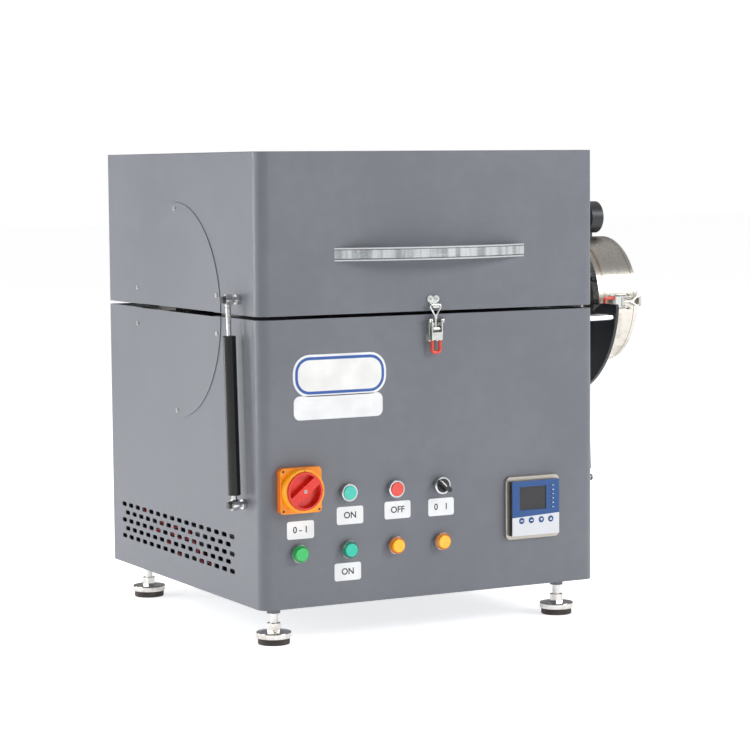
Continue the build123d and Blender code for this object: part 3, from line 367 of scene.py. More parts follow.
@dataclass(frozen=True)
class Quartz:
    """Clear fused quartz with faint drawing lines along the tube."""

    name: str = "clear_quartz"
    colour: Colour = (0.97, 0.985, 1.0)

    def make(self) -> bpy.types.Material:
        """Builds the material."""
        g = Graph(self.name)
        drawn = g.noise(1.0, 3.0, g.scaled(6.0, 260.0, 260.0))
        rough = 0.02 + 0.05 * g.noise(20.0, 4.0).ramp(0.5, 0.8)
        return g.surface(
            Base_Color=self.colour, Roughness=rough, Transmission_Weight=1.0, IOR=1.46,
            Normal=g.bump(drawn, 0.00015),
        )


@dataclass(frozen=True)
class FootMetal:
    """The foot as one node: rubber below, chrome above the pad's top edge."""

    name: str = "foot_finish"
    pad_top: float = -56.0
    rubber: Colour = (0.035, 0.026, 0.023)
    dust: Colour = (0.16, 0.13, 0.11)
    chrome: Colour = (0.74, 0.73, 0.71)
    dull: Colour = (0.52, 0.47, 0.42)

    def make(self) -> bpy.types.Material:
        """Builds the material."""
        g = Graph(self.name)
        _, _, z = g.axes()
        metal = z > self.pad_top
        dusty = g.noise(60.0, 5.0).ramp(0.45, 0.85)
        rubber = g.blend(dusty * 0.6, self.rubber, self.dust)
        plating = g.blend(g.noise(40.0, 4.0).ramp(0.4, 0.75), self.chrome, self.dull)
        colour = g.blend(metal, rubber, plating)
        rough = metal * (0.12 + 0.16 * g.noise(90.0, 4.0)) + (1.0 - metal) * (0.62 + 0.25 * dusty)
        bump = g.bump(g.noise(480.0, 3.0) * (1.0 - metal), 0.00012)
        return g.surface(Base_Color=colour, Metallic=metal, Roughness=rough, Normal=bump)


@dataclass(frozen=True)
class SwitchPlate:
    """Amber plate with painted shade on its sides, and a yellow collar round the knob."""

    name: str = "switch_plate_finish"
    front: Colour = (0.86, 0.275, 0.004)
    # The edge colour is painted shade for the plate's sides.
    edge: Colour = (0.76, 0.155, 0.002)
    collar: Colour = (0.92, 0.36, 0.006)

    def make(self) -> bpy.types.Material:
        """Builds the material."""
        g = Graph(self.name)
        _, y, _ = g.axes()
        raised = y < -14.3
        # Painted shade: the plate's sides, behind its front, take the darker edge colour.
        shaded_sides = y > -13.0
        colour = g.blend(raised, self.front, self.collar)
        colour = g.blend(shaded_sides, colour, self.edge)
        colour = g.blend(g.noise(30.0, 3.0).ramp(0.3, 0.8) * 0.15, colour, (0.5, 0.2, 0.01))
        rough = 0.30 + 0.12 * g.noise(120.0, 3.0)
        return g.surface(Base_Color=colour, Roughness=rough, Normal=g.bump(g.noise(1400.0, 2.0), 0.00002))


@dataclass(frozen=True)
class LampLens:
    """Coloured lenses in two steps: green at the two left columns, amber at the two right ones."""

    name: str = "lamp_lens_finish"
    splits: Tuple[float, float] = (113.0, 204.0)
    flange: Tuple[Colour, Colour, Colour] = ((0.0, 0.24, 0.06), (0.0, 0.12, 0.08), (0.52, 0.14, 0.0))
    cap: Tuple[Colour, Colour, Colour] = ((0.02, 0.56, 0.12), (0.0, 0.50, 0.35), (1.0, 0.47, 0.0))
    step_front: float = -10.2

    def make(self) -> bpy.types.Material:
        """Builds the material."""
        g = Graph(self.name)
        x, y, z = g.axes()
        raised = y < self.step_front
        first, second, amber = (g.blend(raised, low, high) for low, high in zip(self.flange, self.cap))
        grid = self._stripes(g, x) * (x < self.splits[0]) * raised
        first = g.blend(grid * 0.55, first, (0.0, 0.22, 0.06))
        colour = g.blend(x > self.splits[1], g.blend(x > self.splits[0], first, second), amber)
        colour = g.blend(g.noise(60.0, 2.0).ramp(0.45, 0.85) * 0.2, colour, (0.9, 0.9, 0.6))
        rings = self._stripes(g, z * 2.2)
        return g.surface(
            Base_Color=colour, Roughness=0.16 + 0.1 * g.noise(200.0), Coat_Weight=0.5,
            Emission_Color=colour, Emission_Strength=0.05, Normal=g.bump(rings, 0.00006),
        )

    def _stripes(self, g: Graph, along: Value) -> Value:
        """Soft lines 1.5 mm apart along one direction."""
        wave = Value(g, g.node("ShaderNodeMath", {"operation": "SINE"}, {0: along * 4.2}).outputs[0])
        return wave.ramp(-0.2, 0.6)


@dataclass(frozen=True)
class PrintedFace:
    """The controller's front: blue above a slanted edge, white below, with a dark screen."""

    name: str = "controller_face_finish"
    slope_x: float = 518.3
    screen: Tuple[float, float, float, float] = (485.8, 539.3, 135.0, 175.5)
    blue: Colour = (0.010, 0.068, 0.235)
    white: Colour = (0.62, 0.64, 0.67)
    glass: Colour = (0.006, 0.006, 0.008)

    def make(self) -> bpy.types.Material:
        """Builds the material."""
        g = Graph(self.name)
        x, y, z = g.axes()
        slope = z - (x - self.slope_x) * 0.045
        colour = g.blend(slope > 124.5, self.white, self.blue)
        low_x, high_x, low_z, high_z = self.screen
        window = x.between(low_x, high_x) * z.between(low_z, high_z)
        cells = x * 0.42
        bars = Value(g, g.node("ShaderNodeMath", {"operation": "FRACT"}, {0: cells}).outputs[0])
        faint = bars.between(0.25, 0.85) * z.between(141.0, 169.0) * x.between(492.0, 536.0)
        pattern = g.blend(faint * 0.12 * g.noise(150.0), self.glass, (0.10, 0.11, 0.12))
        colour = g.blend(window, colour, pattern)
        colour = g.blend(y > -15.3, colour, (0.02, 0.02, 0.023))
        colour = g.blend(window * (y > -15.6), colour, pattern)
        rough = 0.34 - window * 0.24 + 0.08 * g.noise(200.0)
        return g.surface(Base_Color=colour, Roughness=rough, Normal=g.bump(g.noise(1600.0, 2.0), 0.00001))


@dataclass(frozen=True)
class ControllerHousing:
    """Black housing behind a champagne metal trim."""

    name: str = "controller_case_finish"
    trim: Colour = (0.50, 0.47, 0.42)
    black: Colour = (0.018, 0.018, 0.02)

    def make(self) -> bpy.types.Material:
        """Builds the material."""
        g = Graph(self.name)
        x, y, _ = g.axes()
        outside = y.between(-6.05, 0.5)
        brushed = g.noise(1.0, 3.0, g.scaled(60.0, 900.0, 900.0))
        colour = g.blend(brushed, tuple(0.85 * c for c in self.trim), self.trim)
        colour = g.blend(outside, self.black, colour)
        rough = outside * (0.28 + 0.15 * brushed) + (1.0 - outside) * (0.5 + 0.1 * g.noise(300.0))
        return g.surface(
            Base_Color=colour, Metallic=outside * 0.85, Roughness=rough, Normal=g.bump(brushed, 0.00002)
        )


@dataclass(frozen=True)
class HandleFinish:
    """Bright rolled bar: painted shade along both raised borders, and between them a painted reflection in
    light and dark bands with painted highlight streaks over fine drawn grain.
    """

    name: str = "handle_finish"
    borders: Tuple[float, float] = (577.2, 592.8)

    def make(self) -> bpy.types.Material:
        """Builds the material."""
        g = Graph(self.name)
        _, _, z = g.axes()
        # Painted shade: near-black lines along both raised borders, which are also rougher.
        border_shade = z.between(self.borders[0] - 0.9, self.borders[0] + 0.9)
        border_shade = border_shade + z.between(self.borders[1] - 0.7, self.borders[1] + 0.7)
        inside = z.between(self.borders[0], self.borders[1])
        # Painted reflection: light and dark bands across the bar between its borders.
        reflection_bands = g.noise(1.0, 3.0, g.scaled(60.0, 4.0, 4.0)).ramp(0.38, 0.62)
        streaks_and_glints = g.noise(1.0, 3.0, g.scaled(14.0, 500.0, 500.0))
        colour = g.blend(reflection_bands * inside, (0.72, 0.74, 0.75), (0.36, 0.39, 0.40))
        # Painted highlight: pale streaks from the drawn grain, which also sets the roughness and bump.
        colour = g.blend(streaks_and_glints.ramp(0.5, 0.8) * inside * 0.6, colour, (0.82, 0.84, 0.85))
        colour = g.blend(border_shade * 0.85, colour, (0.05, 0.055, 0.06))
        rough = 0.10 + 0.18 * streaks_and_glints + 0.25 * border_shade
        return g.surface(Base_Color=colour, Metallic=1.0, Roughness=rough, Normal=g.bump(streaks_and_glints, 0.00002))


@dataclass(frozen=True)
class StrutFinish:
    """Gas strut hardware: bright zinc eyes and washers, blackened bolt heads with painted shade in their
    socket holes, glossy black cylinder.

    Args:
        name: The material's name.
        tube: Whether the node is the enamelled cylinder.
    """

    name: str
    tube: bool
    tube_low: float = 187.5
    heads: Tuple[float, float] = (-26.6, 676.6)
    pivots: Tuple[Tuple[float, float], ...] = ((62.0, 172.0), (77.0, 512.0))
    # Squared radius of the painted shade in each socket hole.
    socket_squared: float = 7.8

    def make(self) -> bpy.types.Material:
        """Builds the material."""
        g = Graph(self.name)
        x, y, z = g.axes()
        worn = g.noise(90.0, 4.0)
        zinc = g.blend(worn.ramp(0.35, 0.75), (0.74, 0.74, 0.75), (0.46, 0.45, 0.43))
        black = (x < self.heads[0]) + (x > self.heads[1])
        # Painted shade: a near-black disc in each bolt head stands for the shade in its socket hole.
        socket = 0.0
        for pivot_y, pivot_z in self.pivots:
            reach_y, reach_z = y - pivot_y, z - pivot_z
            socket = socket + (reach_y * reach_y + reach_z * reach_z < self.socket_squared)
        head = g.blend(socket, (0.05, 0.05, 0.052), (0.002, 0.002, 0.002))
        if self.tube:
            black = z > self.tube_low
            head = (0.008, 0.008, 0.009)
        colour = g.blend(black, zinc, head)
        rough = 0.14 + 0.12 * worn + 0.04 * black
        return g.surface(Base_Color=colour, Metallic=1.0 - black, Roughness=rough)


@dataclass(frozen=True)
class SelectorFinish:
    """Black knob with a pale painted highlight along one half of its bar."""

    name: str = "selector_finish"
    centre: Tuple[float, float] = (337.5, 188.0)
    lean: float = 45.0

    def make(self) -> bpy.types.Material:
        """Builds the material."""
        g = Graph(self.name)
        x, y, z = g.axes()
        lean = math.radians(self.lean)
        right, up = x - self.centre[0], z - self.centre[1]
        across = right * math.cos(lean) + up * math.sin(lean)
        along = up * math.cos(lean) - right * math.sin(lean)
        # Painted highlight: a pale line from the knob's centre along one half of the bar's front.
        highlight_stripe = across.between(-0.9, 0.9) * (along > 0.0) * (y < -13.5)
        colour = g.blend(highlight_stripe, (0.012, 0.012, 0.013), (0.75, 0.75, 0.74))
        rough = 0.22 + 0.1 * g.noise(200.0)
        return g.surface(Base_Color=colour, Roughness=rough, Normal=g.bump(g.noise(900.0), 0.00002))


ZINC = Metal("zinc_plate", (0.66, 0.66, 0.67), (0.48, 0.46, 0.42), 0.28, 0.16, (200.0, 200.0, 200.0))
NICKEL = Metal("nickel_latch", (0.74, 0.75, 0.73), (0.50, 0.52, 0.48), 0.22, 0.18, (160.0, 300.0, 160.0))
ROD = Metal("ground_rod", (0.80, 0.80, 0.82), (0.66, 0.66, 0.68), 0.06, 0.06, (60.0, 60.0, 700.0))
RIBBON = Metal("heating_ribbon", (0.22, 0.19, 0.17), (0.35, 0.24, 0.17), 0.45, 0.2, (500.0, 60.0, 60.0))
BEZEL = Metal("bezel_chrome", (0.62, 0.63, 0.65), (0.50, 0.51, 0.52), 0.24, 0.12, (300.0, 300.0, 300.0))
BLACK_PAINT = Plastic("black_paint", (0.016, 0.018, 0.022), 0.42, 700.0, 0.00006)
BLACK_SCREW = Plastic("blackened_steel", (0.02, 0.02, 0.022), 0.35, 900.0, 0.00003)
KNOB_RED = Plastic("knob_red", (0.74, 0.030, 0.016), 0.26, 1200.0, 0.00001)
CAP_GREEN = Plastic("cap_green", (0.05, 0.56, 0.46), 0.26, 1200.0, 0.00001, 0.3)
CAP_RED = Plastic("cap_red", (0.78, 0.06, 0.04), 0.26, 1200.0, 0.00001, 0.3)
GRIP_RED = Plastic("grip_vinyl", (0.72, 0.05, 0.02), 0.34, 600.0, 0.00003, 0.2)
KEY_BLUE = Plastic("key_blue", (0.014, 0.068, 0.25), 0.4, 900.0, 0.00002)
NYLON = Plastic("black_nylon", (0.02, 0.02, 0.02), 0.42, 500.0, 0.00005)
GEAR = Plastic("varnished_core", (0.10, 0.085, 0.07), 0.5, 300.0, 0.0002)
LABEL_WHITE = Plastic("label_white", (0.80, 0.81, 0.82), 0.30, 500.0, 0.00002)
LABEL_BLUE = Plastic("label_blue", (0.03, 0.10, 0.36), 0.30, 500.0, 0.00002)
# Print and marks, and also the painted shade of the screws' drive holes.
INK_AND_SHADE = Plastic("label_ink", (0.02, 0.02, 0.03), 0.40, 900.0, 0.00001)
PRINT_WHITE = Plastic("print_white", (0.72, 0.74, 0.77), 0.40, 900.0, 0.00001)
DIAL_WHITE = Plastic("dial_white", (0.80, 0.80, 0.78), 0.45, 500.0, 0.00001)
WIRE_RED = Plastic("wire_red", (0.60, 0.02, 0.02), 0.35, 600.0, 0.00002)


# Meshes


def in_scene(name: str, data: bpy.types.ID) -> bpy.types.Object:
    """A new object of the scene."""
    made = bpy.data.objects.new(name, data)
    bpy.context.scene.collection.objects.link(made)
    return made


def mesh_object(name: str, build: Callable[[bmesh.types.BMesh], None], finish) -> bpy.types.Object:
    """Makes a closed mesh with its faces outwards.

    Args:
        name: The piece's name.
        build: Fills a bmesh, in the row frame.
        finish: The finish it gets.

    Returns:
        The object.
    """
    mesh = bpy.data.meshes.new(name)
    work = bmesh.new()
    build(work)
    bmesh.ops.remove_doubles(work, verts=work.verts, dist=1e-6)
    bmesh.ops.recalc_face_normals(work, faces=work.faces)
    work.to_mesh(mesh)
    work.free()
    piece = in_scene(name, mesh)
    mesh.materials.append(Wardrobe.get(finish))
    for polygon in mesh.polygons:
        polygon.use_smooth = True
    smooth_by_angle(piece)
    return piece


def smooth_by_angle(piece: bpy.types.Object, angle: float = 35.0) -> None:
    """Marks a mesh's sharp edges so that its flats stay flat."""
    work = bmesh.new()
    work.from_mesh(piece.data)
    for edge in work.edges:
        if len(edge.link_faces) == 2:
            edge.smooth = edge.calc_face_angle(0.0) < math.radians(angle)
    for face in work.faces:
        face.smooth = True
    work.to_mesh(piece.data)
    work.free()


def frame_of(facing: Sequence[float], spin: float = 0.0) -> Matrix:
    """A turn that takes +Z to a direction.

    Args:
        facing: The direction.
        spin: A further turn about it, in degrees.

    Returns:
        The turn.
    """
    turn = Vector(facing).to_track_quat("Z", "Y").to_matrix().to_4x4()
    return turn @ Matrix.Rotation(math.radians(spin), 4, "Z")


def lathe(work: bmesh.types.BMesh, profile: Sequence[Tuple[float, float]], where: Vector,
          facing: Sequence[float], steps: int = 48) -> None:
    """Adds a turned shape.

    Args:
        work: The mesh being built.
        profile: Radius and height pairs in millimetres, closed at the axis or back to the start.
        where: The place of height zero.
        facing: The direction of the axis.
        steps: Faces round the axis.
    """
    turn = Matrix.Translation(where) @ frame_of(facing)
    rings: List[List[bmesh.types.BMVert]] = []
    for radius, height in profile:
        if radius < 1e-6:
            rings.append([work.verts.new(turn @ Vector((0, 0, height / 1000)))])
            continue
        ring = []
        for step in range(steps):
            angle = 2 * math.pi * step / steps
            spot = Vector((radius * math.cos(angle), radius * math.sin(angle), height)) / 1000
            ring.append(work.verts.new(turn @ spot))
        rings.append(ring)
    for low, high in zip(rings, rings[1:]):
        for step in range(steps):
            after = (step + 1) % steps
            corners = [low[step % len(low)], low[after % len(low)]]
            corners += [high[after % len(high)], high[step % len(high)]]
            unique = list(dict.fromkeys(corners))
            if len(unique) >= 3:
                work.faces.new(unique)


def skin(work: bmesh.types.BMesh, rings: Sequence[Sequence[bmesh.types.BMVert]]) -> None:
    """Adds walls between rings of equal length, and closes both ends."""
    for low, high in zip(rings, rings[1:]):
        for step in range(len(low)):
            after = (step + 1) % len(low)
            work.faces.new((low[step], low[after], high[after], high[step]))
    work.faces.new(rings[0])
    work.faces.new(rings[-1])


def swept(work: bmesh.types.BMesh, path: Sequence[Vector], radius: float, sides: int = 16) -> None:
    """Adds a round bar along a path, closed at both ends.

    Args:
        work: The mesh being built.
        path: Points in the row frame.
        radius: In millimetres.
        sides: Faces round the bar.
    """
    rings = []
    normal = None
    for index, spot in enumerate(path):
        ahead = path[min(index + 1, len(path) - 1)]
        behind = path[max(index - 1, 0)]
        along = (ahead - behind).normalized()
        if normal is None:
            normal = along.orthogonal().normalized()
        normal = (normal - along * normal.dot(along)).normalized()
        side = along.cross(normal)
        ring = []
        for step in range(sides):
            angle = 2 * math.pi * step / sides
            reach = (normal * math.cos(angle) + side * math.sin(angle)) * radius / 1000
            ring.append(work.verts.new(spot + reach))
        rings.append(ring)
    skin(work, rings)


def rounded(points: Sequence[Vector], radius: float, steps: int = 6) -> List[Vector]:
    """A path with its inner corners rounded.

    Args:
        points: The corners, in the row frame.
        radius: In millimetres.
        steps: Points on each bend.

    Returns:
        The path.
    """
    path = [points[0]]
    for before, corner, after in zip(points, points[1:], points[2:]):
        start = corner + (before - corner).normalized() * radius / 1000
        end = corner + (after - corner).normalized() * radius / 1000
        for step in range(steps + 1):
            t = step / steps
            path.append(start.lerp(corner, t).lerp(corner.lerp(end, t), t))
    path.append(points[-1])
    return path


def plate(work: bmesh.types.BMesh, centre: Vector, facing: Sequence[float], width: float, height: float,
          thickness: float, corner: float, spin: float = 0.0) -> None:
    """Adds a thin plate with rounded corners and a softened front edge.

    Args:
        work: The mesh being built.
        centre: The middle of its back, in the row frame.
        facing: The way its front looks.
        width: In millimetres.
        height: In millimetres.
        thickness: In millimetres.
        corner: Corner radius in millimetres.
        spin: A turn about the facing, in degrees.
    """
    turn = Matrix.Translation(centre) @ frame_of(facing, spin)
    edge = min(0.3, thickness * 0.4)
    layers = ((0.0, 0.0), (thickness - edge, 0.0), (thickness, edge))
    rings = []
    for level, inset in layers:
        ring = []
        for quarter, (sx, sy) in enumerate(((1, 1), (-1, 1), (-1, -1), (1, -1))):
            for step in range(7):
                angle = math.radians(90 * quarter + 15 * step)
                x = sx * (width / 2 - corner) + (corner - inset) * math.cos(angle)
                y = sy * (height / 2 - corner) + (corner - inset) * math.sin(angle)
                ring.append(work.verts.new(turn @ Vector((x / 1000, y / 1000, level / 1000))))
        rings.append(ring)
    skin(work, rings)


def lettering(name: str, words: str, size: float, where: Vector, facing: Sequence[float], finish,
              spin: float = 0.0) -> bpy.types.Object:
    """Makes plain raised characters as a mesh.

    Args:
        name: The piece's name.
        words: Generic characters only.
        size: Their height in millimetres.
        where: The middle of their back.
        facing: The way they look.
        finish: The ink.
        spin: A turn about the facing, in degrees.

    Returns:
        The piece.
    """
    curve = bpy.data.curves.new(name, "FONT")
    curve.body = words
    curve.size = size / 1000
    curve.align_x = "CENTER"
    curve.align_y = "CENTER"
    curve.extrude = 0.00006
    curve.offset = size / 1000 * 0.022
    source = in_scene(name + "_curve", curve)
    bpy.context.view_layer.update()
    mesh = bpy.data.meshes.new_from_object(source.evaluated_get(bpy.context.evaluated_depsgraph_get()))
    bpy.data.objects.remove(source)
    mesh.transform(Matrix.Translation(where) @ frame_of(facing, spin))
    piece = in_scene(name, mesh)
    mesh.materials.clear()
    mesh.materials.append(Wardrobe.get(finish))
    work = bmesh.new()
    work.from_mesh(mesh)
    bmesh.ops.remove_doubles(work, verts=work.verts, dist=1e-7)
    bmesh.ops.recalc_face_normals(work, faces=work.faces)
    work.to_mesh(mesh)
    work.free()
    return piece


class Wardrobe:
    """Keeps one material for each finish."""

    made: Dict[object, bpy.types.Material] = {}

    @classmethod
    def get(cls, finish) -> bpy.types.Material:
        """The material of a finish, made once."""
        if finish not in cls.made:
            cls.made[finish] = finish.make()
        return cls.made[finish]


def dress(node: str, finish) -> None:
    """Gives a CAD node its finish."""
    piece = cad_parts[node]
    piece.data.materials.clear()
    piece.data.materials.append(Wardrobe.get(finish))


def fit(piece: bpy.types.Object, body: str) -> None:
    """Fixes a finished piece to its body."""
    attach(piece, body)


# Repeated fittings


class Recess(Enum):
    """The drive in a screw's head: how many corners its hole has."""

    HEXAGON = 6
    CROSS = 4
    NONE = 3


@dataclass
class ScrewRow:
    """Screw heads set out on one body by a geometry-node tree.

    Args:
        name: The piece's name.
        body: The body that carries them.
        slot: A slot name; not used.
        spots: Their places in millimetres.
        facing: The way they look.
        radius: Head radius.
        height: Head height.
        drive: The hole in the head, drawn as a disc of painted shade.
        finish: The head's finish.
        seed: For the turn of each head.
    """

    name: str
    body: str
    slot: str
    spots: List[Point]
    facing: Facing
    radius: float
    height: float
    drive: Recess = Recess.HEXAGON
    finish: object = ZINC
    seed: int = 3

    def _tree(self) -> bpy.types.NodeTree:
        """Builds the tree: a crowned head with a near-black disc of painted shade for its drive hole, on
        every point.
        """
        tree = bpy.data.node_groups.new(self.name + "_tree", "GeometryNodeTree")
        face = tree.interface
        face.new_socket("Geometry", in_out="INPUT", socket_type="NodeSocketGeometry")
        for label in ("Head Radius", "Head Height", "Drive Radius"):
            face.new_socket(label, in_out="INPUT", socket_type="NodeSocketFloat")
        face.new_socket("Direction", in_out="INPUT", socket_type="NodeSocketVector")
        face.new_socket("Geometry", in_out="OUTPUT", socket_type="NodeSocketGeometry")
        nodes, link = tree.nodes, tree.links.new
        entry = nodes.new("NodeGroupInput")
        leave = nodes.new("NodeGroupOutput")

        def times(socket: bpy.types.NodeSocket, factor: float) -> bpy.types.NodeSocket:
            """A socket multiplied by a factor."""
            node = nodes.new("ShaderNodeMath")
            node.operation = "MULTIPLY"
            link(socket, node.inputs[0])
            node.inputs[1].default_value = factor
            return node.outputs[0]

        parts = []
        # The last layer is painted shade: a near-black disc where the drive recess would be.
        stack = ((24, "Head Radius", 0.62, 1.0, self.finish), (24, "Head Radius", 1.0, 0.86, self.finish),
                 (self.drive.value, "Drive Radius", 1.06, 1.0, INK_AND_SHADE))
        for sides, radius_name, tall, wide, finish in stack:
            cylinder = nodes.new("GeometryNodeMeshCylinder")
            cylinder.inputs["Vertices"].default_value = sides
            depth = times(entry.outputs["Head Height"], tall)
            up = nodes.new("ShaderNodeCombineXYZ")
            link(times(depth, 0.5), up.inputs[2])
            move = nodes.new("GeometryNodeTransform")
            link(times(entry.outputs[radius_name], wide), cylinder.inputs["Radius"])
            link(depth, cylinder.inputs["Depth"])
            link(cylinder.outputs["Mesh"], move.inputs["Geometry"])
            link(up.outputs[0], move.inputs["Translation"])
            paint = nodes.new("GeometryNodeSetMaterial")
            paint.inputs["Material"].default_value = Wardrobe.get(finish)
            link(move.outputs[0], paint.inputs["Geometry"])
            parts.append(paint)
        join = nodes.new("GeometryNodeJoinGeometry")
        for part in parts[:2] if self.drive is Recess.NONE else parts:
            link(part.outputs[0], join.inputs[0])
        aim = nodes.new("FunctionNodeAlignRotationToVector")
        link(entry.outputs["Direction"], aim.inputs["Vector"])
        aim.axis = "Z"
        turn = nodes.new("FunctionNodeRandomValue")
        turn.data_type = "FLOAT"
        turn.inputs[2].default_value = 0.0
        turn.inputs[3].default_value = 6.28
        turn.inputs["Seed"].default_value = self.seed
        spin = nodes.new("FunctionNodeAxisAngleToRotation")
        spin.inputs["Axis"].default_value = (0, 0, 1)
        link(turn.outputs[1], spin.inputs["Angle"])
        both = nodes.new("FunctionNodeRotateRotation")
        both.rotation_space = "LOCAL"
        link(aim.outputs[0], both.inputs[0])
        link(spin.outputs[0], both.inputs[1])
        scatter = nodes.new("GeometryNodeInstanceOnPoints")
        link(entry.outputs["Geometry"], scatter.inputs["Points"])
        link(join.outputs[0], scatter.inputs["Instance"])
        link(both.outputs[0], scatter.inputs["Rotation"])
        real = nodes.new("GeometryNodeRealizeInstances")
        link(scatter.outputs[0], real.inputs[0])
        link(real.outputs[0], leave.inputs[0])
        return tree

    def build(self) -> bpy.types.Object:
        """Makes the row of heads as one plain mesh.

        Returns:
            The piece.
        """
        mesh = bpy.data.meshes.new(self.name + "_points")
        mesh.from_pydata([place(*spot) for spot in self.spots], [], [])
        carrier = in_scene(self.name + "_carrier", mesh)
        modifier = carrier.modifiers.new("screws", "NODES")
        modifier.node_group = self._tree()
        sizes = {"Head Radius": self.radius / 1000, "Head Height": self.height / 1000,
                 "Drive Radius": self.radius * 0.46 / 1000, "Direction": self.facing.value}
        for item in modifier.node_group.interface.items_tree:
            if item.in_out == "INPUT" and item.name in sizes:
                modifier[item.identifier] = sizes[item.name]
        bpy.context.view_layer.update()
        ready = carrier.evaluated_get(bpy.context.evaluated_depsgraph_get())
        plain = bpy.data.meshes.new_from_object(ready)
        bpy.data.objects.remove(carrier)
        plain.name = self.name
        piece = in_scene(self.name, plain)
        smooth_by_angle(piece)
        fit(piece, self.body)
        return piece


# Sub-assemblies


@dataclass
class Casing:
    """The painted shells, their covers, screws and blank name plate."""

    cover_centre: Tuple[float, float] = (338.0, 483.0)
    cover_screw_radius: float = 177.0
    cover_screw_angles: Tuple[float, ...] = (10.6, 90.0, 169.4, 190.6, 270.0, 349.4)
    badge_parts: Tuple[Tuple[float, ...], ...] = (
        (147.0, 386.0, 174.0, 70.0, 30.0), (144.0, 333.0, 166.0, 40.0, 11.0),
    )

    def build(self) -> None:
        """Dresses the sheet metal and adds what is fixed to it."""
        coat = PowderCoat()
        for node in ("base_shell", "base_floor", "base_rear_panel", "lid_shell", "lid_top", "lid_rear_panel"):
            dress(node, coat)
        cover = PowderCoat("cover_coat", (0.138, 0.148, 0.168), (0.156, 0.166, 0.187), 640.0, 0.00011)
        dress("side_covers_lower", cover)
        dress("side_covers_upper", cover)
        self._cover_screws()
        self._badge()
        self._rear_screws()

    def _cover_screws(self) -> None:
        """Small screws round both half discs on the left side, and round the upper one on the right."""
        for upper in (True, False):
            angles = [a for a in self.cover_screw_angles if (a < 180) == upper]
            body = "lid" if upper else "base"
            for side, x in ((Facing.LEFT, -1.5), (Facing.RIGHT, 651.5)):
                spots = []
                for angle in angles:
                    if side is Facing.RIGHT and not upper:
                        continue
                    y = self.cover_centre[0] + self.cover_screw_radius * math.cos(math.radians(angle))
                    z = self.cover_centre[1] + self.cover_screw_radius * math.sin(math.radians(angle))
                    spots.append((x, y, z))
                if spots:
                    name = f"cover_screws_{body}_{side.name.lower()}"
                    ScrewRow(name, body, "zinc_steel", spots, side, 3.9, 1.8, Recess.CROSS, NICKEL).build()

    def _badge(self) -> None:
        """A plain blank name plate where the furnace carries its sticker."""
        layers = (
            ("name_plate", LABEL_WHITE, 0.0, 0.0), ("name_plate_border", LABEL_BLUE, 4.0, 0.45),
            ("name_plate_field", DIAL_WHITE, 9.0, 0.6),
        )
        for name, finish, inset, level in layers:
            def draw(work: bmesh.types.BMesh) -> None:
                """Adds one layer of the plate."""
                for x, z, width, height, corner in self.badge_parts[: 1 if inset else 2]:
                    plate(work, place(x, 0.05 - level, z), Facing.FRONT.value, width - 2 * inset,
                          height - 2 * inset, 0.5 if inset == 0 else 0.2, corner - inset)
            fit(mesh_object(name, draw, finish), "base")

    def _rear_screws(self) -> None:
        """Screws round the rear panels and on the hinge leaves."""
        low = [(x, 652.0, z) for x in (14.0, 218.0, 432.0, 636.0) for z in (12.0, 468.0)]
        low += [(x, 652.0, 240.0) for x in (14.0, 636.0)]
        high = [(x, 652.0, z) for x in (14.0, 218.0, 432.0, 636.0) for z in (500.0, 740.0)]
        leaf_x = [start + step for start in (110.0, 460.0) for step in (12.0, 40.0, 68.0)]
        below = [(x, 655.0, 458.0) for x in leaf_x]
        above = [(x, 655.0, 508.0) for x in leaf_x]
        rows = (
            ("rear_screws_base", "base", low, 2.0), ("rear_screws_lid", "lid", high, 2.0),
            ("hinge_screws_base", "base", below, 1.8), ("hinge_screws_lid", "lid", above, 1.8),
        )
        for name, body, spots, height in rows:
            ScrewRow(name, body, "zinc_steel", spots, Facing.BACK, 3.6, height, Recess.CROSS).build()
        for node in ("hinge_base_leaves", "hinge_lid_leaves"):
            dress(node, ZINC)
        dress("cable_gland", NYLON)


@dataclass
class HotZone:
    """Insulation, heating ribbons, quartz tube and the sheet that carries them."""

    wires: Tuple[Tuple[Point, ...], ...] = (
        ((22.0, 250.0, 40.0), (20.0, 330.0, 78.0), (24.0, 400.0, 66.0), (30.0, 520.0, 96.0)),
        ((30.0, 300.0, 30.0), (26.0, 360.0, 96.0), (22.0, 430.0, 84.0), (26.0, 560.0, 60.0)),
        ((36.0, 380.0, 24.0), (28.0, 440.0, 50.0), (26.0, 500.0, 72.0), (34.0, 600.0, 108.0)),
    )

    def build(self) -> None:
        """Dresses the inside and lays the wires that show through the slots."""
        for number, spots in enumerate(self.wires, 1):
            path = rounded([place(*spot) for spot in spots], 30.0, 8)
            wire = mesh_object(f"heater_wire_{number}", lambda work: swept(work, path, 2.6, 12), WIRE_RED)
            fit(wire, "base")
        for node in ("lower_insulation", "upper_insulation"):
            dress(node, FibreBoard())
        for node in ("lower_heater", "upper_heater"):
            dress(node, RIBBON)
        dress("quartz_tube", Quartz())
        for node in ("base_deck", "lid_deck", "insulation_tray"):
            dress(node, Galvanised())
        dress("control_gear", GEAR)
        dress("contact_blocks", NYLON)


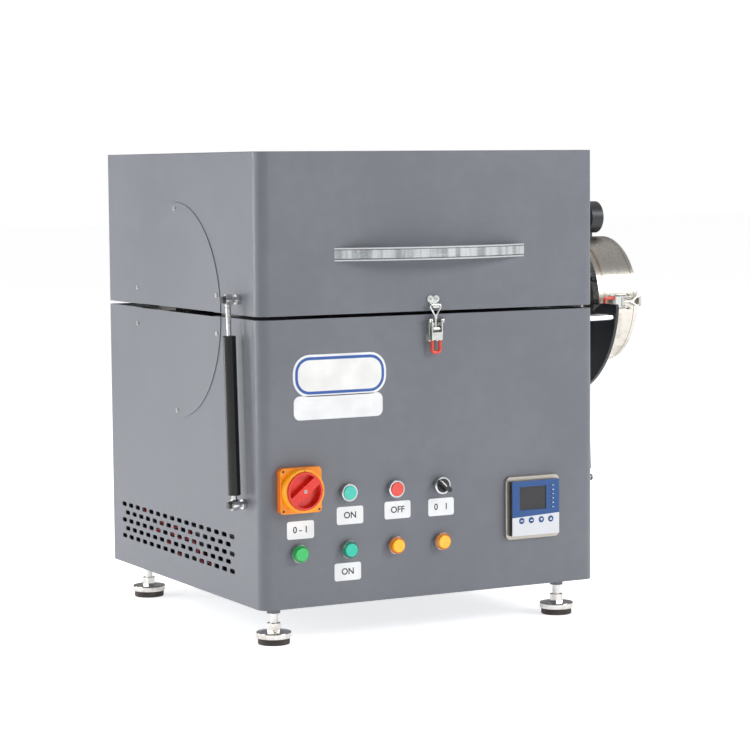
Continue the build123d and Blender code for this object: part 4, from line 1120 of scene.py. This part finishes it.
@dataclass
class ControlPanel:
    """Main switch, buttons, selector, lamps and their plain labels."""

    label_size: Tuple[float, float] = (50.0, 30.0)
    switch_centre: Tuple[float, float] = (66.5, 198.5)
    knob_front: float = -30.0

    def build(self) -> None:
        """Dresses the panel and adds labels, screws and marks."""
        dress("switch_plate", SwitchPlate())
        dress("switch_knob", KNOB_RED)
        dress("start_button", CAP_GREEN)
        dress("stop_button", CAP_RED)
        dress("selector_knob", SelectorFinish())
        dress("panel_bezels", BEZEL)
        dress("lamp_lenses", LampLens())
        self._labels()
        self._switch_marks()

    def _labels(self) -> None:
        """White labels with generic marks."""
        marks = (
            ("main", (70.9, 130.9), "0 - 1"),
            ("start", (163.4, 148.7), "ON"),
            ("stop", (253.8, 151.4), "OFF"),
            ("pump", (338.3, 150.4), "0   1"),
            ("run", (158.2, 54.0), "ON"),
        )
        width, height = self.label_size
        for name, (x, z), words in marks:
            label = mesh_object(
                f"label_{name}",
                lambda work: plate(work, place(x, -0.05, z), Facing.FRONT.value, width, height, 0.45, 4.0),
                LABEL_WHITE,
            )
            fit(label, "base")
            text = lettering(f"label_{name}_mark", words, 15.0, place(x, -0.46, z), Facing.FRONT.value, INK_AND_SHADE)
            fit(text, "base")

    def _switch_marks(self) -> None:
        """The knob's centre screw and the plate's moulded index marks."""
        x, z = self.switch_centre
        ScrewRow("knob_screw", "switch_knob", "knob_red", [(x, self.knob_front, z)], Facing.FRONT, 3.0, 0.8,
                 Recess.CROSS, ZINC).build()
        marks = []
        for dx, dz in ((-33.0, 33.0), (33.0, -33.0), (-33.0, -33.0)):
            marks.append((x + dx, -14.0, z + dz))
        ScrewRow("switch_plate_screws", "base", "zinc_steel", marks, Facing.FRONT, 2.0, 0.5, Recess.CROSS,
                 BLACK_SCREW).build()
        for name, words, dx, dz in (("mark_zero", "0", 0.0, 33.9), ("mark_one", "1", 33.9, 0.0)):
            text = lettering(name, words, 4.0, place(x + dx, -27.0, z + dz), Facing.FRONT.value, INK_AND_SHADE)
            fit(text, "base")


@dataclass
class Controller:
    """The temperature controller's trim, face, lamps and key symbols."""

    key_x: Tuple[float, ...] = (489.6, 509.1, 529.4, 548.6)
    key_z: float = 116.5
    key_front: float = -16.8
    dot_x: float = 549.5
    dot_z: Tuple[float, float, int] = (137.0, 175.0, 6)

    def build(self) -> None:
        """Dresses the controller and adds its small print."""
        dress("controller_case", ControllerHousing())
        dress("controller_face", PrintedFace())
        for number in range(1, 5):
            dress(f"key_{number}", KEY_BLUE)
        self._dots()
        self._symbols()

    def _dots(self) -> None:
        """Six indicator lamps with a short bar beside each."""
        low, high, count = self.dot_z
        heights = [low + (high - low) * index / (count - 1) for index in range(count)]

        def lamps(work: bmesh.types.BMesh) -> None:
            """Adds the dark lamps."""
            for z in heights:
                plate(work, place(self.dot_x, -16.0, z), Facing.FRONT.value, 2.4, 2.8, 0.15, 0.3)

        def bars(work: bmesh.types.BMesh) -> None:
            """Adds the white bars."""
            for z in heights:
                plate(work, place(self.dot_x + 4.2, -16.0, z), Facing.FRONT.value, 2.6, 1.3, 0.1, 0.3)

        fit(mesh_object("indicator_lamps", lamps, INK_AND_SHADE), "base")
        fit(mesh_object("indicator_bars", bars, PRINT_WHITE), "base")

    def _symbols(self) -> None:
        """White arrows and bars on the four keys."""
        for number, x in enumerate(self.key_x, 1):
            def draw(work: bmesh.types.BMesh) -> None:
                """Adds one key's symbol."""
                front = place(x, self.key_front, self.key_z)
                if number <= 2:
                    plate(work, front, Facing.FRONT.value, 5.6, 1.6, 0.1, 0.3)
                    return
                tip = -1 if number == 3 else 1
                corners = ((0.0, 2.4 * tip), (-2.7, -1.8 * tip), (2.7, -1.8 * tip))
                back = [work.verts.new(front + Vector((u, 0.0, v)) / 1000) for u, v in corners]
                lift = Vector((0.0, -0.0001, 0.0))
                face = [work.verts.new(vertex.co + lift) for vertex in back]
                skin(work, (back, face))

            fit(mesh_object(f"key_symbol_{number}", draw, PRINT_WHITE), f"key_{number}")


@dataclass
class ToggleLatch:
    """One latch's finish, its vinyl grip and, where it has a catch plate, the screws in it.

    Args:
        name: front or door.
        origin: The pivot's foot on the surface, in millimetres.
        along: The direction of the pull.
        out: The direction off the surface.
        nodes: The latch's CAD nodes on fixed bodies.
    """

    name: str
    origin: Point
    along: Vector
    out: Vector
    nodes: Tuple[str, ...]
    grip_length: float = 54.0
    grip_half: float = 7.5
    grip_start: float = 34.0
    grip_level: float = 10.0
    grip_radius: float = 2.95
    catch: Optional[Tuple[str, float, float]] = None

    def build(self) -> None:
        """Dresses the latch and adds the grip."""
        for node in self.nodes:
            dress(node, NICKEL)
        across = self.along.cross(self.out)
        base = place(*self.origin) + self.out * self.grip_level / 1000

        def spot(side: float, along: float) -> Vector:
            """A point on the grip's line."""
            return base + (across * side + self.along * along) / 1000

        half, start, end = self.grip_half, -self.grip_start, -self.grip_length
        corners = [spot(-half, start), spot(-half, end), spot(half, end), spot(half, start)]
        path = rounded(corners, 6.5, 8)
        name = f"{self.name}_latch_grip"
        grip = mesh_object(name, lambda work: swept(work, path, self.grip_radius, 20), GRIP_RED)
        fit(grip, f"{self.name}_latch_lever")
        self._catch_screws()

    def _catch_screws(self) -> None:
        """Two screws in the lobes of the catch plate."""
        if self.catch is None:
            return
        body, rise, half = self.catch
        x, y, z = self.origin
        spots = [(x + side * half, y - 2.0, z + rise) for side in (-1, 1)]
        ScrewRow(f"{self.name}_catch_screws", body, "zinc_steel", spots, Facing.FRONT, 3.6, 1.4, Recess.CROSS,
                 NICKEL).build()


@dataclass
class VacuumEnd:
    """The clamp ring, barrel, door, gauge, port and their bolts."""

    ring_face: float = 802.0
    bolt_circle: float = 110.0
    gauge_centre: Tuple[float, float] = (338.0, 631.0)
    dial_x: float = 866.0
    zero_angle: float = 225.0
    tick_count: int = 28
    glass_x: float = 869.6

    def build(self) -> None:
        """Dresses the end and adds bolts, the dial and its glass."""
        steel = TurnedSteel()
        for node in ("clamp_ring", "barrel", "door", "vacuum_port", "door_fittings"):
            dress(node, steel)
        dress("support_plate", BLACK_PAINT)
        dress("support_rods", ROD)
        dress("door_seal", BLACK_SCREW)
        dress("gauge_case", BLACK_PAINT)
        dress("gauge_needle", INK_AND_SHADE)
        self._bolts()
        self._dial()

    def _bolts(self) -> None:
        """Black socket heads on the clamp ring's face."""
        spots = []
        for angle in (22.5, 67.5, 112.5, 157.5, 180.0):
            y = AXIS_Y + self.bolt_circle * math.cos(math.radians(angle))
            z = AXIS_Z + self.bolt_circle * math.sin(math.radians(angle))
            spots.append((self.ring_face, y, z))
        ScrewRow("ring_bolts", "base", "black_paint", spots, Facing.LEFT, 5.0, 5.0, Recess.HEXAGON,
                 BLACK_SCREW).build()

    def _dial(self) -> None:
        """The gauge's white dial, its ticks and numbers, and a clear disc over them."""
        y, z = self.gauge_centre
        face = mesh_object(
            "gauge_dial",
            lambda work: lathe(work, ((0, 0), (26.4, 0), (26.4, 0.25), (0, 0.25)), place(self.dial_x, y, z),
                               Facing.RIGHT.value, 64),
            DIAL_WHITE,
        )
        fit(face, "base")

        def ticks(work: bmesh.types.BMesh) -> None:
            """Adds long and short ticks round the dial."""
            for index in range(self.tick_count):
                angle = math.radians(self.zero_angle - index * 10)
                radius, length = (22.6, 4.0) if index % 3 == 0 else (23.4, 2.4)
                spot = place(self.dial_x + 0.25, y + radius * math.cos(angle), z + radius * math.sin(angle))
                axis = Vector((0.0, math.cos(angle), math.sin(angle)))
                side = Vector((0.0, -math.sin(angle), math.cos(angle)))
                signs = ((-1, -1), (1, -1), (1, 1), (-1, 1))
                corners = [spot + axis * length / 2000 * a + side * 0.0003 * b for a, b in signs]
                low = [work.verts.new(c) for c in corners]
                high = [work.verts.new(c + Vector((0.00008, 0, 0))) for c in corners]
                skin(work, (low, high))

        fit(mesh_object("gauge_ticks", ticks, INK_AND_SHADE), "base")
        for index in range(4):
            angle = math.radians(self.zero_angle - index * 90)
            where = place(self.dial_x + 0.27, y + 16.5 * math.cos(angle), z + 16.5 * math.sin(angle))
            number = lettering(f"gauge_number_{index}", str(index), 5.0, where, Facing.RIGHT.value, INK_AND_SHADE, 90.0)
            fit(number, "base")
        glass = mesh_object(
            "gauge_glass",
            lambda work: lathe(work, ((0, 0), (26.9, 0), (26.9, 0.9), (26.0, 1.1), (0, 1.1)),
                               place(self.glass_x, y, z), Facing.RIGHT.value, 64),
            Quartz("gauge_pane"),
        )
        fit(glass, "base")


@dataclass
class Struts:
    """Finishes of the gas struts and the handle."""

    def build(self) -> None:
        """Dresses the struts and the handle."""
        for side in ("left", "right"):
            dress(f"strut_tube_{side}", StrutFinish("strut_cylinder", True))
            dress(f"strut_rod_{side}", StrutFinish("strut_bright", False))
        dress("strut_lower_bolts", StrutFinish("strut_bright", False))
        dress("handle", HandleFinish())


@dataclass
class Feet:
    """Finishes and threads of the four levelling feet."""

    places: Tuple[Tuple[float, float], ...] = ((46.0, 55.0), (46.0, 595.0), (604.0, 55.0), (604.0, 595.0))
    thread_low: float = -31.0
    thread_high: float = 18.0
    pitch: float = 1.75
    radius: float = 7.0

    def build(self) -> None:
        """Dresses each foot and cuts the look of a thread on its stud."""
        finish = FootMetal()
        for number, (x, y) in enumerate(self.places, 1):
            dress(f"foot_{number}", finish)
            turns = int((self.thread_high - self.thread_low) / self.pitch)
            profile = [(0.0, 0.0)]
            for turn in range(turns):
                height = turn * self.pitch
                profile += [(self.radius - 0.02, height), (self.radius + 0.04, height + self.pitch * 0.25),
                            (self.radius + 0.04, height + self.pitch * 0.5)]
            profile.append((0.0, turns * self.pitch))
            thread = mesh_object(
                f"foot_{number}_thread",
                lambda work: lathe(work, profile, place(x, y, self.thread_low), Facing.UP.value, 28),
                ZINC,
            )
            fit(thread, f"foot_{number}")


@dataclass(frozen=True)
class SoftBox:
    """One rectangular soft light aimed at the furnace."""

    name: str
    spot: Point
    power: float
    size: Tuple[float, float]


@dataclass
class Studio:
    """Pale floor, soft light and the camera at the photograph's angle."""

    eye: Point = (-1699.7, -3615.4, 725.0)
    yaw: float = 27.881
    pitch: float = 4.795
    roll: float = -0.484
    focal: float = 2450.444
    frame_width: float = 750.0
    floor_glow: float = 0.66
    boxes: Tuple[SoftBox, ...] = (
        SoftBox("front_box", (3.0, -3.8, 2.6), 135.0, (2.2, 1.6)),
        SoftBox("left_box", (-4.0, 0.6, 1.9), 48.0, (1.6, 2.0)),
        SoftBox("top_box", (0.2, 0.6, 3.6), 70.0, (2.6, 2.6)),
        SoftBox("corner_box", (-3.0, 2.4, 0.7), 45.0, (0.4, 2.2)),
    )

    def build(self) -> None:
        """Sets up the floor, world, lights, camera and a plain colour view."""
        bpy.context.scene.view_settings.view_transform = "Standard"
        self._floor()
        self._world()
        self._lights()
        self._camera()

    def _floor(self) -> None:
        """A wide pale floor."""
        g = Graph("floor_finish")
        colour = g.blend(g.noise(3.0, 3.0), (0.90, 0.90, 0.91), (0.94, 0.94, 0.94))
        mesh = bpy.data.meshes.new("floor")
        work = bmesh.new()
        bmesh.ops.create_grid(work, x_segments=2, y_segments=2, size=30.0)
        work.to_mesh(mesh)
        work.free()
        floor = in_scene("floor", mesh)
        glow = {"Emission_Color": (1.0, 1.0, 1.0), "Emission_Strength": self.floor_glow}
        mesh.materials.append(g.surface(Base_Color=colour, Roughness=0.9, **glow))

    def _world(self) -> None:
        """A white backdrop, with a darker room above and behind the camera for the metal to mirror."""
        world = bpy.data.worlds.new("studio")
        world.use_nodes = True
        tree = world.node_tree
        background = tree.nodes["Background"]
        direction = tree.nodes.new("ShaderNodeTexCoord")
        ramp = tree.nodes.new("ShaderNodeValToRGB")
        split = tree.nodes.new("ShaderNodeSeparateXYZ")
        stops = ((0.0, 0.80), (0.49, 0.75), (0.54, 0.22), (0.72, 0.24), (1.0, 0.50))
        while len(ramp.color_ramp.elements) < len(stops):
            ramp.color_ramp.elements.new(0.5)
        for element, (position, grey) in zip(ramp.color_ramp.elements, stops):
            element.position = position
            element.color = (grey, grey, grey * 1.03, 1.0)
        half = tree.nodes.new("ShaderNodeMath")
        half.operation = "MULTIPLY_ADD"
        half.inputs[1].default_value = 0.5
        half.inputs[2].default_value = 0.5
        rays = tree.nodes.new("ShaderNodeLightPath")
        mix = tree.nodes.new("ShaderNodeMix")
        mix.data_type = "RGBA"
        mix.inputs[7].default_value = (1.0, 1.0, 1.0, 1.0)
        tree.links.new(direction.outputs["Generated"], split.inputs[0])
        tree.links.new(split.outputs[2], half.inputs[0])
        tree.links.new(half.outputs[0], ramp.inputs[0])
        tree.links.new(rays.outputs["Is Camera Ray"], mix.inputs[0])
        tree.links.new(ramp.outputs[0], mix.inputs[6])
        tree.links.new(mix.outputs[2], background.inputs[0])
        bpy.context.scene.world = world

    def _lights(self) -> None:
        """Large soft boxes in front, at the left and overhead, and a narrow one for the corner's gleam."""
        target = Vector((0.0, 0.0, 0.4))
        for box in self.boxes:
            light = bpy.data.lights.new(box.name, "AREA")
            light.shape = "RECTANGLE"
            light.energy = box.power
            light.size, light.size_y = box.size
            lamp = in_scene(box.name, light)
            lamp.location = box.spot
            lamp.rotation_euler = (target - Vector(box.spot)).to_track_quat("-Z", "Y").to_euler()

    def _camera(self) -> None:
        """The camera, solved from the casing's edges."""
        data = bpy.data.cameras.new("camera")
        data.sensor_width = 36.0
        data.lens = self.focal / self.frame_width * 36.0
        data.clip_end = 100.0
        camera = in_scene("camera", data)
        turn = (
            Matrix.Rotation(math.radians(-self.yaw), 4, "Z")
            @ Matrix.Rotation(math.radians(90.0 - self.pitch), 4, "X")
            @ Matrix.Rotation(math.radians(self.roll), 4, "Z")
        )
        camera.matrix_world = Matrix.Translation(place(*self.eye)) @ turn
        bpy.context.scene.camera = camera


def main() -> None:
    """Builds every sub-assembly in order and reports each."""
    front = ToggleLatch(
        "front", (325.0, 0.0, 470.0), Vector((0, 0, 1)), Vector((0, -1, 0)),
        ("front_latch_base", "front_latch_catch", "front_latch_lever", "front_latch_loop"),
        catch=("lid", 36.0, 5.6),
    )
    door = ToggleLatch(
        "door", (862.0, 219.0, 475.0), Vector((1, 0, 0)), Vector((0, -1, 0)),
        ("door_latch_lever", "door_latch_loop"),
    )
    for assembly in (Casing(), HotZone(), ControlPanel(), Controller(), front, door, VacuumEnd(), Struts(),
                     Feet(), Studio()):
        assembly.build()
        log.info("built %s", type(assembly).__name__)


if __name__ == "__main__":
    logging.basicConfig(level=logging.INFO)
    main()
